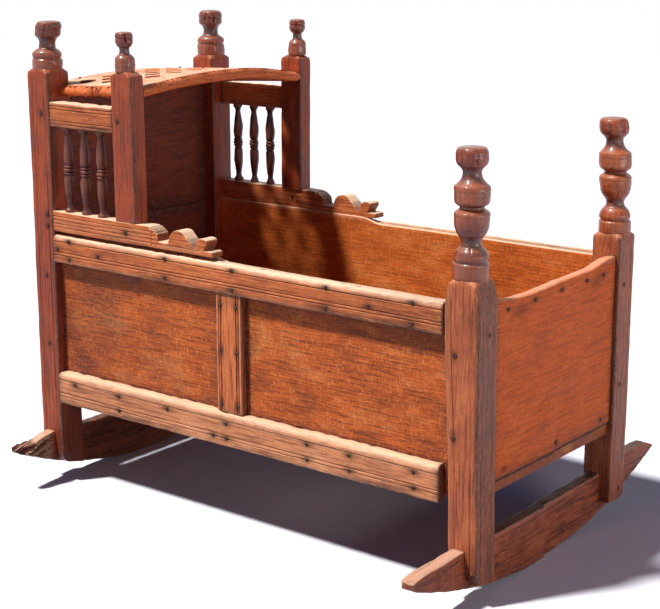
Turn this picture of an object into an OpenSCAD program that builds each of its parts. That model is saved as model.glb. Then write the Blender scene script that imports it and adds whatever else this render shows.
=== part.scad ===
// Joined rocking cradle with a spindled hood under a pierced barrel roof.
// +X runs from the head to the foot, +Y to the far side and +Z up.
// The origin lies on the floor at the middle of the cradle. Lengths are in mm.

/* [Frame] */
// Length over the corner posts
frame_length = 900; // [780:5:1000]
// Width over the corner posts
frame_width = 454; // [400:2:540]
// Side of a square corner post
post_side = 49; // [44:1:56]
// Distance of a scratched line from a post's arris
post_line_inset = 11; // [6:0.5:18]

/* [Sides] */
// Height of the bottom rails' underside above the floor
bottom_rail_z = 148; // [130:1:190]
// Height of a bottom rail's face
bottom_rail_h = 56; // [44:1:70]
// Height of the panel seen between the rails
panel_h = 193; // [140:1:260]
// Height of a top rail's face
top_rail_h = 47; // [38:1:60]
// Thickness of the rails nailed on the outside
rail_t = 16; // [12:0.5:20]
// Radius of a top rail's rounded upper arris
top_rail_nose = 8; // [3:0.5:10]
// Radius of a bottom rail's rounded upper arris
bottom_rail_nose = 9; // [3:0.5:10]
// How far the rails stand proud of the posts
rail_proud = 2; // [0.5:0.5:4]
// Thickness of the wide side boards
board_t = 15; // [12:0.5:20]
// Length by which a top rail stops short of the foot post
top_rail_gap = 4; // [0:0.5:12]
// Length by which a bottom rail stops short of the foot post
bottom_rail_gap = 9; // [0:0.5:20]
// Drop of a side board's top edge below the top rail
board_drop = 3; // [0:0.5:8]
// Rise of the side board above the top rail where it carries the scroll rail
board_rise = 6; // [2:0.5:10]
// Length of the ogee where the side board's top edge drops
ogee_l = 42; // [30:1:60]
// Distance from the scroll's end back to the ogee's start
ogee_back = 28; // [10:1:50]
// Width of the muntin
muntin_w = 50; // [36:1:70]
// Thickness of the muntin
muntin_t = 13; // [9:0.5:16]
// Distance of a scratched line from the muntin's edge
muntin_line_inset = 9; // [5:0.5:14]
// Distance of the muntin's middle from the cradle's middle, to the foot
muntin_offset = -10; // [-60:1:60]

/* [Floor and ends] */
// Thickness of the floor boards
floor_t = 20; // [14:0.5:26]
// Height of the floor boards' underside above the bottom rails' underside
floor_lift = 8; // [2:0.5:20]
// Number of floor boards
floor_boards = 3; // [2:1:5]
// Depth by which the end boards are let into the floor boards
floor_rebate = 2; // [1:0.5:4]
// Thickness of the foot board
foot_board_t = 20; // [14:0.5:24]
// Thickness of the head boards
head_board_t = 16; // [12:0.5:20]
// Distance of the end boards' outer faces behind the posts' faces
end_setback = 10; // [6:0.5:14]
// Height of the foot board's ends above the top rails
foot_board_rise = 7; // [0:0.5:16]
// Depth of the scoop in the foot board's top edge
foot_scoop = 10; // [2:0.5:40]
// Power by which the scoop's ends rise; a greater one leaves its middle flatter
scoop_power = 4; // [2:0.5:6]
// Step down from the scoop's ends to the foot board's tongues
scoop_step = 3; // [1:0.5:5]

/* [Hood] */
// Height of a scroll rail
scroll_rail_h = 34; // [30:0.5:44]
// Thickness of a scroll rail
scroll_rail_t = 30; // [24:0.5:32]
// Length of a scroll rail from the head post to the end of its scroll
scroll_reach = 360; // [340:1:440]
// Length of a scroll rail's sawn end
scroll_l = 137; // [120:1:142]
// Clear height between the scroll rail and the gallery rail
gallery_open = 143; // [110:1:190]
// Height of a gallery rail
gallery_rail_h = 41; // [34:0.5:50]
// Thickness of a gallery rail
gallery_rail_t = 24; // [20:0.5:26]
// How far a gallery rail stands behind the posts' outer faces
gallery_setback = 0.5; // [0:0.5:3]
// Length of the hood from the head posts to the front of the hood posts
hood_length = 194; // [180:1:240]
// Width of a hood post along the cradle
hood_post_x = 46; // [38:1:52]
// Width of a hood post across the cradle
hood_post_y = 29; // [27:0.5:34]
// Height of a hood post's square above the gallery rail
hood_post_rise = 57; // [50:1:80]
// Height of a head post's square above the gallery rail
head_post_rise = 49; // [45:1:80]
// Height of a foot post's square above the top rail
foot_post_rise = 32; // [24:1:60]

/* [Roof] */
// Height of the roof's crown above the gallery rail, at the front
roof_crown = 47; // [40:1:52]
// Thickness of the roof board at its crown
roof_t = 21; // [16:0.5:26]
// Rise of the roof's upper face from its edges to its crown
roof_rise = 14; // [8:0.5:26]
// Rise of the roof's hollow underside
roof_hollow = 12; // [4:0.5:20]
// Fall of the roof towards the head, in degrees
roof_fall = 3; // [0:0.5:5]
// Radius of the rounded side edges of the roof
roof_edge_r = 6; // [2:0.5:8]
// Side of the diamond holes pierced through the roof
lattice_hole = 24; // [12:1:28]
// Width of the bars between the diamond holes
lattice_bar = 12; // [8:1:24]
// Length of the roof left solid behind its front edge
lattice_front = 56; // [50:1:90]
// Width of the roof left solid at each side
lattice_side = 26; // [20:1:60]

/* [Spindles] */
// Number of spindles on each side
spindle_count = 3; // [1:1:3]
// Distance between the spindles' middles
spindle_pitch = 39; // [26:0.5:46]
// Distance of the first spindle's middle from the head post
spindle_first = 30; // [20:0.5:34]
// Largest diameter of a spindle
spindle_d = 16; // [12:0.5:20]
// Diameter of a spindle's round tenons
spindle_tenon_d = 9; // [6:0.5:11]

/* [Turned finials] */
// Height of a foot post's finial
foot_finial_h = 185; // [120:1:230]
// Height of a head post's finial
head_finial_h = 79; // [60:1:110]
// Height of a hood post's finial
hood_finial_h = 62; // [45:1:90]
// Largest radius of a corner post's finial less than half the post
finial_relief = 0.5; // [0.5:0.1:2]

/* [Rockers] */
// Radius of a rocker's curved underside
rocker_r = 845; // [750:5:1200]
// Length worn flat in the middle of a rocker's underside, on which the cradle stands still
worn_flat = 84; // [70:2:120]
// Thickness of a rocker
rocker_t = 21; // [16:0.5:24]
// Height of a rocker's straight top edge above the floor
rocker_top_z = 86; // [74:1:100]
// Thickness of a post's cheek on the foot side of the rocker
rocker_cheek = 19.5; // [12:0.5:21]
// Reach of a rocker's horns from the cradle's middle
rocker_reach = 361; // [330:1:400]
// Reach of the head rocker's near horn, which is worn short
worn_reach = 318; // [280:1:330]
// Height of the near horns' top edges
horn_near_z = 88; // [84:1:104]
// Height of the far horns' top edges
horn_far_z = 102; // [88:1:112]
// Radius of a horn's rounded tip
horn_tip_r = 7.5; // [5:0.5:9]
// Length of the slope from a horn's top down to its tip
horn_slope = 24; // [16:1:50]
// Height of the posts' feet above the rocker's underside
foot_lift = 8; // [3:0.5:14]
// Radius of the rounded outer corner of a post's foot
foot_round_r = 14; // [6:1:20]

/* [Joints] */
// Clearance round tenons, tongues and rockers
joint_gap = 0.2; // [0.1:0.05:0.3]
// Length of the tenons of the rails
tenon_l = 28; // [20:1:30]
// Thickness of the tenons
tenon_t = 12; // [9:0.5:14]
// Length of a gallery rail's tenon in the hood post
gallery_tenon_l = 23; // [18:1:30]
// Depth of a hood post's tenon in the scroll rail
hood_tenon_l = 24; // [16:1:27]
// Shoulder on each side of a hood post's tenon
hood_tenon_shoulder = 10; // [6:1:12]
// Depth by which a side board enters a foot post
foot_tongue = 16; // [13:0.5:18]
// Depth by which a side board enters a head post
head_tongue = 30; // [26:0.5:34]
// Depth by which the foot board enters the foot posts
foot_board_tongue = 26; // [20:0.5:28]
// Depth by which the head boards enter the head posts
head_board_tongue = 12; // [8:0.5:14]
// Depth of the sockets for the spindles
spindle_socket = 10; // [6:0.5:12]
// Diameter of the pegs
peg_d = 8; // [6:0.5:9]
// Length by which a peg stands proud
peg_proud = 1; // [0.5:0.1:2]
// Clearance round a peg or a nail
peg_gap = 0.05; // [0.02:0.01:0.1]
// Open seam between neighbouring boards
seam = 0.3; // [0.2:0.1:1.5]
// Diameter of a nail's head
nail_head_d = 6.5; // [5:0.5:9]
// Diameter of a nail's shank
nail_d = 3; // [2:0.5:4]
// Length by which a nail enters the piece behind
nail_grip = 20; // [14:1:24]

/* [Hidden] */

// How far pieces of one solid run into each other
bury = 2;
// Half side of the square that cuts a scratched line, and how far its middle lies off the face
line_cut = 1.2;
line_out = 0.4;
// Ends of a post's scratched lines, above the rocker and below the shoulder
line_start = 30;
line_stop = 22;
// Heights of the side boards' pegs above the floor boards and below the top rails
side_peg_up = 74;
side_peg_down = 26;
// Height of the foot board's lower pegs above the floor boards
end_peg_up = 60;
// Height of a side's upper short nails above the top rail's underside
short_nail_up = 23;
round_fn = 48;
wide_fn = 720;

// Faces of the frame
post_out_x = frame_length / 2;
post_in_x = post_out_x - post_side;
post_out_y = frame_width / 2;
post_in_y = post_out_y - post_side;
post_mid_y = post_out_y - post_side / 2;

// Faces of the sides, measured outwards from the middle
rail_out_y = post_out_y + rail_proud;
board_out_y = rail_out_y - rail_t;
board_in_y = board_out_y - board_t;

// Heights of the sides and floor
floor_z = bottom_rail_z + floor_lift;
floor_top_z = floor_z + floor_t;
end_board_z = floor_top_z - floor_rebate;
panel_z = bottom_rail_z + bottom_rail_h;
top_rail_z = panel_z + panel_h;
side_top_z = top_rail_z + top_rail_h;
board_top_z = side_top_z - board_drop;
seat_z = side_top_z + board_rise;

// Hood: rails, posts and roof
scroll_top_z = seat_z + scroll_rail_h;
gallery_z = scroll_top_z + gallery_open;
gallery_top_z = gallery_z + gallery_rail_h;
hood_mid_y = post_out_y - hood_post_y / 2;
hood_in_y = post_out_y - hood_post_y;
scroll_mid_y = post_out_y - scroll_rail_t / 2;
gallery_mid_y = post_out_y - gallery_setback - gallery_rail_t / 2;
scroll_end_x = scroll_reach - post_in_x;
hood_front_x = hood_length - post_in_x;
hood_back_x = hood_front_x - hood_post_x;
hood_mid_x = hood_front_x - hood_post_x / 2;
crown_z = gallery_top_z + roof_crown;
hood_shoulder_z = gallery_top_z + hood_post_rise;
head_shoulder_z = gallery_top_z + head_post_rise;
foot_shoulder_z = side_top_z + foot_post_rise;

// Arcs of the roof's upper face and underside, and its thickness at the edges
roof_up_r = (hood_in_y * hood_in_y + roof_rise * roof_rise) / (2 * roof_rise);
roof_low_r = (hood_in_y * hood_in_y + roof_hollow * roof_hollow) / (2 * roof_hollow);
roof_edge_t = roof_t + roof_hollow - roof_rise;
roof_dowel_l = 24;

// Height of the roof's upper face, and of its underside, at a place
function roof_top_z(x, y) =
    crown_z + (x - hood_front_x) * tan(roof_fall)
        - (roof_up_r - sqrt(roof_up_r * roof_up_r - y * y)) / cos(roof_fall);
function roof_low_z(x, y) =
    crown_z + (x - hood_front_x) * tan(roof_fall)
        - (roof_t + roof_low_r - sqrt(roof_low_r * roof_low_r - y * y)) / cos(roof_fall);

// End boards
foot_board_out_x = post_out_x - end_setback;
foot_board_in_x = foot_board_out_x - foot_board_t;
head_board_out_x = end_setback - post_out_x;
head_board_in_x = head_board_out_x + head_board_t;
foot_board_top_z = side_top_z + foot_board_rise;
head_board_top_z = roof_low_z(head_board_in_x, 0);

// Rockers: both lie nearer the head side of their posts
foot_rocker_x = post_out_x - rocker_cheek - rocker_t;
head_rocker_x = post_side - post_out_x - rocker_cheek - rocker_t;
pin_out = 7;
pin_z = 57;
// Height of the middle of the underside's arc above the floor
rocker_mid_z = sqrt(rocker_r * rocker_r - worn_flat * worn_flat / 4);
nose_end = 60;

hood_tenon_x = hood_post_x - 2 * hood_tenon_shoulder;

oak_post = [0.52, 0.26, 0.17];
oak_rail = [0.70, 0.36, 0.22];
oak_board = [0.68, 0.31, 0.13];
oak_turned = [0.45, 0.21, 0.14];
oak_dark = [0.36, 0.18, 0.12];
iron = [0.17, 0.15, 0.16];

// Mirrors a near piece to the far side
module on_side(far) mirror([0, far ? 1 : 0, 0]) children();

// Stands a drawing of the Y-Z plane up and gives it a length along X
module along_x(x0, x1) translate([x0, 0, 0]) rotate([90, 0, 90]) linear_extrude(x1 - x0) children();

// Stands a drawing of the X-Z plane up and gives it a width along Y
module along_y(y0, y1) translate([0, y1, 0]) rotate([90, 0, 0]) linear_extrude(y1 - y0) children();

// A box given by its lowest and highest corners
module span(low, high) translate(low) cube(high - low);

// Points of an arc from p to q that stands out by sag on the right hand of its way
function arc_points(p, q, sag, steps) =
    let (
        chord = norm(q - p), h = abs(sag), r = (chord * chord / 4 + h * h) / (2 * h),
        way = (q - p) / chord, out = [way[1], -way[0]] * sign(sag),
        c = (p + q) / 2 - out * (r - h),
        a0 = atan2(p[1] - c[1], p[0] - c[0]), a1 = atan2(q[1] - c[1], q[0] - c[0]),
        turn = a1 - a0 > 180 ? a1 - a0 - 360 : a1 - a0 < -180 ? a1 - a0 + 360 : a1 - a0
    )
    [for (i = [1:steps]) c + r * [cos(a0 + turn * i / steps), sin(a0 + turn * i / steps)]];

// Outline through stations [share of radius, share of height, bulge of the stretch that ends here]
function turned_points(stations, r, h, low = 0) = [
    for (i = [0:len(stations) - 1])
        let (
            q = [stations[i][0] * r, stations[i][1] * h + low],
            p = i == 0 ? q : [stations[i - 1][0] * r, stations[i - 1][1] * h + low]
        )
        each (i == 0 || stations[i][2] == 0 ? [q] : arc_points(p, q, stations[i][2] * r, 5))
];

// A turned solid of the given radius and height
module turned(stations, r, h)
    rotate_extrude($fn = round_fn)
        polygon(concat([[0, 0]], turned_points(stations, r, h)));

foot_finial_stations = [
    [1, 0, 0], [1, 0.092, 0.02], [0.92, 0.1, 0], [0.92, 0.108, 0],
    [0.98, 0.116, 0.01], [0.96, 0.194, 0.05], [0.6, 0.246, 0.1], [0.62, 0.276, -0.03],
    [0.98, 0.39, 0.15], [1, 0.465, 0.015], [0.74, 0.5, 0.04], [0.73, 0.54, -0.04],
    [0.98, 0.573, 0.04], [1, 0.675, 0.02], [0.64, 0.73, 0.1], [0.55, 0.802, -0.07],
    [0.9, 0.88, 0.13], [0.88, 0.957, 0.035], [0.7, 0.992, 0.06], [0, 1, 0.02]
];
head_finial_stations = [
    [1, 0, 0], [1, 0.215, 0.02], [0.92, 0.234, 0], [0.92, 0.253, 0],
    [0.98, 0.266, 0.01], [0.93, 0.354, 0.035], [0.54, 0.462, 0.09], [0.52, 0.645, -0.04],
    [0.87, 0.76, 0.12], [0.88, 0.81, 0.01], [0.84, 0.83, 0], [0.87, 0.85, 0.01],
    [0.83, 0.95, 0.035], [0.62, 0.992, 0.05], [0, 1, 0.02]
];
hood_finial_stations = [
    [1, 0, 0], [1, 0.28, 0.02], [0.55, 0.44, 0.14], [0.5, 0.55, -0.03], [0.56, 0.66, -0.03],
    [0.93, 0.775, 0.1], [0.94, 0.84, 0.01], [0.88, 0.858, 0], [0.94, 0.88, 0.01],
    [0.91, 0.96, 0.03], [0.66, 0.993, 0.06], [0, 1, 0.02]
];
half_spindle_stations = [
    [0.95, 0, 0], [0.95, 0.03, 0.03], [0.6, 0.1, -0.06], [0.96, 0.4, 0.1], [0.76, 0.445, 0.04],
    [0.98, 0.462, 0.05], [0.78, 0.478, 0.04], [1, 0.5, 0.05]
];

// Rounds the arrises off above a turned shoulder, as a skew chisel leaves them
module shoulder_round(x, y, z, half, reach) {
    low_point = [reach * 1.6, z - reach * 0.55];
    translate([x, y, 0]) rotate_extrude($fn = 96)
        polygon(concat([[0, 0], [low_point[0], 0], low_point],
            arc_points(low_point, [half, z], reach * 0.12, 8), [[0, z]]));
}

// A shallow V groove along Z on a face at y, cut from below
module line_z(x, y, z0, z1)
    translate([x, y, z0]) rotate([0, 0, 45])
        translate([-line_cut, -line_cut, 0]) cube([2 * line_cut, 2 * line_cut, z1 - z0]);

// A shallow V groove along X
module line_x(y, z, x0, x1)
    translate([x0, y, z]) rotate([45, 0, 0])
        translate([0, -line_cut, -line_cut]) cube([x1 - x0, 2 * line_cut, 2 * line_cut]);

// Scratched lines down the two outward faces of a near post
module post_lines(x_out, x_in, z0, z1) {
    way = sign(x_in - x_out);
    for (x = [x_out + way * post_line_inset, x_in - way * post_line_inset])
        line_z(x, -post_out_y - line_out, z0, z1);
    for (y = [-post_out_y + post_line_inset, -post_in_y - post_line_inset])
        line_z(x_out - way * line_out, y, z0, z1);
}

// Points round the nose of a horn of the given reach, from the underside to the top, on the side s
function nose_points(s, reach) =
    let (
        y = reach - horn_tip_r,
        z = rocker_mid_z - sqrt(pow(rocker_r - horn_tip_r, 2) - y * y),
        low = atan2(z - rocker_mid_z, y)
    )
    [for (i = [0:8]) let (a = low + (nose_end - low) * i / 8)
        [s * (y + horn_tip_r * cos(a)), z + horn_tip_r * sin(a)]];

// Outline of a rocker in the Y-Z plane, its top raised by lift
module rocker_outline(near_reach, lift = 0) {
    far_nose = nose_points(1, rocker_reach);
    near_nose = nose_points(-1, near_reach);
    intersection() {
        translate([0, rocker_mid_z]) circle(rocker_r, $fn = wide_fn);
        polygon(concat(
            [[near_nose[0][0], 0], [far_nose[0][0], 0]],
            far_nose,
            [[rocker_reach - horn_slope, horn_far_z + lift], [post_out_y, horn_far_z + lift],
             [post_in_y, rocker_top_z + lift], [-post_in_y, rocker_top_z + lift],
             [-post_out_y, horn_near_z + lift], [horn_slope - near_reach, horn_near_z + lift]],
            [for (i = [8:-1:0]) near_nose[i]]));
    }
}

// A rocker whose head-side face is at x
module rocker(x, near_reach)
    difference() {
        along_x(x, x + rocker_t) rocker_outline(near_reach);
        for (s = [-1, 1]) pin_bore(x, x + rocker_t, s);
    }

// Bore for a rocker pin between two faces
module pin_bore(x0, x1, s)
    translate([x0 - 1, s * (post_mid_y + pin_out), pin_z]) rotate([0, 90, 0])
        cylinder(d = peg_d, h = x1 - x0 + 2, $fn = round_fn);

// Square of a near post with its foot cut to follow the rocker
module post_square(x_low, shoulder_z) {
    x_mid = x_low + post_side / 2;
    intersection() {
        span([x_low, -post_out_y, 0], [x_low + post_side, -post_in_y, shoulder_z]);
        shoulder_round(x_mid, -post_mid_y, shoulder_z, post_side / 2 - finial_relief, post_side / 2);
        along_x(x_low - 1, x_low + post_side + 1)
            translate([0, rocker_mid_z]) circle(rocker_r - foot_lift, $fn = wide_fn);
        along_x(x_low - 1, x_low + post_side + 1) foot_round();
    }
}

// Rounds the outer corner of a near post's foot
module foot_round() {
    low_z = rocker_mid_z - sqrt(pow(rocker_r - foot_lift, 2) - post_in_y * post_in_y);
    round_z = low_z + foot_round_r * 1.5;
    difference() {
        translate([-post_out_y - 1, 0]) square([post_side + 2, head_shoulder_z + 1]);
        difference() {
            translate([-post_out_y - 2, 0]) square([foot_round_r + 2, round_z]);
            translate([-post_out_y + foot_round_r, round_z]) circle(foot_round_r, $fn = round_fn);
        }
    }
}

// Slot through a post for its rocker
module rocker_slot(x)
    along_x(x - joint_gap, x + rocker_t + joint_gap) rocker_outline(rocker_reach, joint_gap);

// Round hole along Y from the outer face of a near post
module peg_hole(x, z, y_end)
    translate([x, -post_out_y - 1, z]) rotate([-90, 0, 0])
        cylinder(d = peg_d, h = post_out_y + 1 + y_end, $fn = round_fn);

// Places of the pegs: [distance into the post, height]
side_peg_z = [floor_top_z + side_peg_up, top_rail_z - side_peg_down];
foot_peg_in = 10;
head_peg_in = 23;
scroll_peg_in = 15;
gallery_peg_in = 20;
hood_peg_in = 12;
peg_stop = 5;
peg_end_y = peg_stop - board_in_y;
hood_peg_end_y = -hood_in_y - 3;
foot_end_peg_z = [floor_top_z + end_peg_up, top_rail_z + 3];
foot_end_peg_y = post_in_y + 20;
gallery_peg_z = gallery_z + gallery_rail_h / 2;
scroll_peg_z = seat_z + scroll_rail_h / 2;
scroll_peg_zs = [scroll_peg_z - 10, scroll_peg_z + 10];

// Near foot post
module foot_post() {
    x = post_in_x;
    color(oak_post) union() {
        difference() {
            post_square(x, foot_shoulder_z);
            rocker_slot(foot_rocker_x);
            pin_bore(x, post_out_x, -1);
            span([x - 1, -board_out_y - joint_gap, floor_top_z - joint_gap],
                [x + foot_tongue + joint_gap, -board_in_y + joint_gap, board_top_z + joint_gap]);
            span([foot_board_in_x - joint_gap, -post_in_y - foot_board_tongue - joint_gap,
                  end_board_z - joint_gap],
                [foot_board_out_x + joint_gap, -post_in_y + 1, foot_board_top_z + joint_gap]);
            for (z = side_peg_z) peg_hole(x + foot_peg_in, z, peg_end_y);
            for (z = foot_end_peg_z) end_peg_hole(z);
            post_lines(post_out_x, x, rocker_top_z + line_start, foot_shoulder_z - line_stop);
        }
        translate([x + post_side / 2, -post_mid_y, foot_shoulder_z])
            turned(foot_finial_stations, post_side / 2 - finial_relief, foot_finial_h);
    }
}

// Hole along X from the outer face of a near foot post
module end_peg_hole(z)
    translate([foot_board_in_x - bury, -foot_end_peg_y, z]) rotate([0, 90, 0])
        cylinder(d = peg_d, h = post_out_x - foot_board_in_x + bury + 1, $fn = round_fn);

// Near head post
module head_post() {
    x = -post_in_x;
    color(oak_post) union() {
        difference() {
            post_square(-post_out_x, head_shoulder_z);
            rocker_slot(head_rocker_x);
            pin_bore(-post_out_x, x, -1);
            span([x - head_tongue - joint_gap, -board_out_y - joint_gap, floor_top_z - joint_gap],
                [x + 1, -board_in_y + joint_gap, seat_z]);
            span([head_board_out_x - joint_gap, -post_in_y - head_board_tongue - joint_gap,
                  end_board_z - joint_gap],
                [head_board_in_x + joint_gap, -post_in_y + 1, head_board_top_z]);
            span([x - tenon_l - joint_gap, -scroll_mid_y - tenon_t / 2 - joint_gap, seat_z - joint_gap],
                [x + 1, -scroll_mid_y + tenon_t / 2 + joint_gap, scroll_top_z + joint_gap]);
            span([x - tenon_l - joint_gap, -gallery_mid_y - tenon_t / 2 - joint_gap,
                  gallery_z - joint_gap],
                [x + 1, -gallery_mid_y + tenon_t / 2 + joint_gap, gallery_top_z + joint_gap]);
            for (z = side_peg_z) peg_hole(x - head_peg_in, z, peg_end_y);
            for (z = scroll_peg_zs) peg_hole(x - scroll_peg_in, z, peg_end_y);
            peg_hole(x - gallery_peg_in, gallery_peg_z, peg_end_y);
            post_lines(-post_out_x, x, rocker_top_z + line_start, head_shoulder_z - line_stop);
        }
        translate([x - post_side / 2, -post_mid_y, head_shoulder_z])
            turned(head_finial_stations, post_side / 2 - finial_relief, head_finial_h);
    }
}

// Near hood post, standing on the scroll rail
module hood_post() {
    half = hood_post_y / 2 - finial_relief;
    color(oak_post) union() {
        difference() {
            intersection() {
                span([hood_back_x, -post_out_y, scroll_top_z],
                    [hood_front_x, -hood_in_y, hood_shoulder_z]);
                shoulder_round(hood_mid_x, -hood_mid_y, hood_shoulder_z, half, hood_post_x / 2);
            }
            span([hood_back_x - 1, -gallery_mid_y - tenon_t / 2 - joint_gap, gallery_z - joint_gap],
                [hood_back_x + gallery_tenon_l + joint_gap, -gallery_mid_y + tenon_t / 2 + joint_gap,
                 gallery_top_z + joint_gap]);
            peg_hole(hood_back_x + hood_peg_in, gallery_peg_z, hood_peg_end_y);
            roof_dowel_bore();
        }
        difference() {
            span([hood_mid_x - hood_tenon_x / 2, -hood_mid_y - tenon_t / 2,
                  scroll_top_z - hood_tenon_l],
                [hood_mid_x + hood_tenon_x / 2, -hood_mid_y + tenon_t / 2, scroll_top_z + bury]);
            peg_hole(hood_mid_x, scroll_peg_z, hood_peg_end_y);
        }
        translate([hood_mid_x, -hood_mid_y, hood_shoulder_z])
            turned(hood_finial_stations, half, hood_finial_h);
    }
}
// Outline of a side board in the X-Z plane, with an ogee where the scroll rail ends
module side_board_outline() {
    ogee_x0 = scroll_end_x - ogee_back;
    polygon(concat(
        [[-post_in_x - head_tongue, floor_top_z], [post_in_x + foot_tongue, floor_top_z],
         [post_in_x + foot_tongue, board_top_z]],
        [for (i = [12:-1:0]) [
            ogee_x0 + ogee_l * i / 12,
            board_top_z + (seat_z - board_top_z) * (1 + cos(180 * i / 12)) / 2]],
        [[-post_in_x - head_tongue, seat_z]]));
}

// Near side board
module side_board()
    color(oak_board) difference() {
        along_y(-board_out_y, -board_in_y) side_board_outline();
        for (z = side_peg_z) {
            peg_hole(post_in_x + foot_peg_in, z, -board_in_y + 1);
            peg_hole(-post_in_x - head_peg_in, z, -board_in_y + 1);
        }
        side_nail_bores();
        floor_nail_bores();
    }

// Face of a rail: rounded top arris and scratched lines at the given shares of its height
module rail_section(h, nose, lines)
    difference() {
        translate([-rail_out_y, 0]) square([rail_t, h]);
        difference() {
            translate([-rail_out_y - 1, h - nose]) square([nose + 1, nose + 1]);
            translate([-rail_out_y + nose, h - nose]) circle(nose, $fn = round_fn);
        }
        for (share = lines)
            translate([-rail_out_y, share * h]) rotate(45) square(1.5 * line_cut, center = true);
    }

// Near top rail
module top_rail()
    color(oak_rail) difference() {
        along_x(-post_in_x, post_in_x - top_rail_gap)
            translate([0, top_rail_z]) rail_section(top_rail_h, top_rail_nose, [0.28, 0.38, 0.77]);
        side_nail_bores();
    }

// Near bottom rail
module bottom_rail()
    color(oak_rail) difference() {
        along_x(-post_in_x, post_in_x - bottom_rail_gap)
            translate([0, bottom_rail_z])
                rail_section(bottom_rail_h, bottom_rail_nose, [0.21, 0.32, 0.75]);
        side_nail_bores();
    }

// Near muntin
module muntin()
    color(oak_rail) difference() {
        span([muntin_offset - muntin_w / 2, -board_out_y - muntin_t, panel_z],
            [muntin_offset + muntin_w / 2, -board_out_y, top_rail_z]);
        for (s = [-1, 1])
            line_z(muntin_offset + s * (muntin_w / 2 - muntin_line_inset),
                -board_out_y - muntin_t - line_out, panel_z - 1, top_rail_z + 1);
        side_nail_bores();
    }

// Sawn end of a scroll rail, from its tip back: [mm from the tip, share of the height, bulge in mm]
scroll_stations = [
    [0, 0.1, 0], [6, 0.28, 2], [15, 0.29, 0.4], [16, 0.34, 0], [11, 0.55, 0], [12.5, 0.75, 1],
    [22.5, 0.79, 0.7], [33.5, 0.5, 3], [38, 0.32, 0], [44, 0.55, 0], [61, 1.03, -1],
    [68, 1.07, 0.5], [92, 0.53, 5.5], [93.5, 0.37, 0], [115.5, 0.38, -1.4], [117.5, 0.72, 0],
    [137, 1, 2.8]
];
// Small notches across the round before the first drop: [mm from the tip, share of the height]
scroll_notches = [[121.5, 0.88], [128, 0.98]];

scroll_scale = scroll_l / scroll_stations[len(scroll_stations) - 1][0];

function scroll_point(n) =
    [scroll_end_x - scroll_stations[n][0] * scroll_scale, seat_z + scroll_stations[n][1] * scroll_rail_h];

// Outline of a scroll rail in the X-Z plane
module scroll_outline()
    difference() {
        polygon(concat(
            [[-post_in_x, seat_z], [scroll_end_x, seat_z], scroll_point(0)],
            [for (n = [1:len(scroll_stations) - 1])
                each (scroll_stations[n][2] == 0 ? [scroll_point(n)] :
                    arc_points(scroll_point(n - 1), scroll_point(n),
                        scroll_stations[n][2] * scroll_scale, 6))],
            [[-post_in_x, scroll_top_z]]));
        for (p = scroll_notches)
            translate([scroll_end_x - p[0] * scroll_scale, seat_z + p[1] * scroll_rail_h]) rotate(20)
                square([1.6, 4], center = true);
    }

// Near scroll rail
module scroll_rail() {
    in_y = post_out_y - scroll_rail_t;
    color(oak_rail) difference() {
        union() {
            along_y(-post_out_y, -in_y) scroll_outline();
            span([-post_in_x - tenon_l, -scroll_mid_y - tenon_t / 2, seat_z],
                [bury - post_in_x, -scroll_mid_y + tenon_t / 2, scroll_top_z]);
        }
        span([hood_mid_x - hood_tenon_x / 2 - joint_gap, -hood_mid_y - tenon_t / 2 - joint_gap,
              scroll_top_z - hood_tenon_l - joint_gap],
            [hood_mid_x + hood_tenon_x / 2 + joint_gap, -hood_mid_y + tenon_t / 2 + joint_gap,
             scroll_top_z + 1]);
        peg_hole(hood_mid_x, scroll_peg_z, hood_peg_end_y);
        for (z = scroll_peg_zs) peg_hole(-post_in_x - scroll_peg_in, z, -in_y + 1);
        for (x = spindle_xs) spindle_bore(x, scroll_top_z - spindle_socket, scroll_top_z + 1);
        for (i = [0:3])
            line_x(-post_out_y - 0.4, seat_z + scroll_rail_h * (0.22 + 0.18 * i), -post_in_x - 1,
                scroll_end_x - scroll_l * (i == 0 ? 0.16 : 0.89));
    }
}

spindle_xs = [for (i = [0:spindle_count - 1]) -post_in_x + spindle_first + i * spindle_pitch];

// Round socket for a spindle's tenon
module spindle_bore(x, z0, z1)
    translate([x, -gallery_mid_y, z0])
        cylinder(d = spindle_tenon_d + 2 * joint_gap, h = z1 - z0, $fn = round_fn);

// Near gallery rail
module gallery_rail() {
    out_y = gallery_mid_y + gallery_rail_t / 2;
    in_y = gallery_mid_y - gallery_rail_t / 2;
    color(oak_rail) difference() {
        union() {
            span([-post_in_x, -out_y, gallery_z], [hood_back_x, -in_y, gallery_top_z]);
            span([-post_in_x - tenon_l, -gallery_mid_y - tenon_t / 2, gallery_z],
                [hood_back_x + gallery_tenon_l, -gallery_mid_y + tenon_t / 2, gallery_top_z]);
        }
        peg_hole(-post_in_x - gallery_peg_in, gallery_peg_z, -in_y + 1);
        peg_hole(hood_back_x + hood_peg_in, gallery_peg_z, -in_y + 1);
        for (x = spindle_xs) spindle_bore(x, gallery_z - 1, gallery_z + spindle_socket);
        for (share = [0.12, 0.26, 0.7, 0.84])
            line_x(-out_y - 0.4, gallery_z + gallery_rail_h * share, -post_in_x - 1, hood_back_x + 1);
    }
}

// Near spindle of the given number, counted from the head
module spindle(n) {
    r = spindle_d / 2;
    low = turned_points(half_spindle_stations, r, gallery_open);
    tenon = spindle_socket - 2 * joint_gap;
    color(oak_turned) translate([spindle_xs[n - 1], -gallery_mid_y, scroll_top_z])
        rotate_extrude($fn = round_fn)
            polygon(concat(
                [[0, -tenon], [spindle_tenon_d / 2, -tenon], [spindle_tenon_d / 2, 0]],
                low,
                [for (i = [len(low) - 2:-1:0]) [low[i][0], gallery_open - low[i][1]]],
                [[spindle_tenon_d / 2, gallery_open],
                 [spindle_tenon_d / 2, gallery_open + tenon], [0, gallery_open + tenon]]));
}

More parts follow.
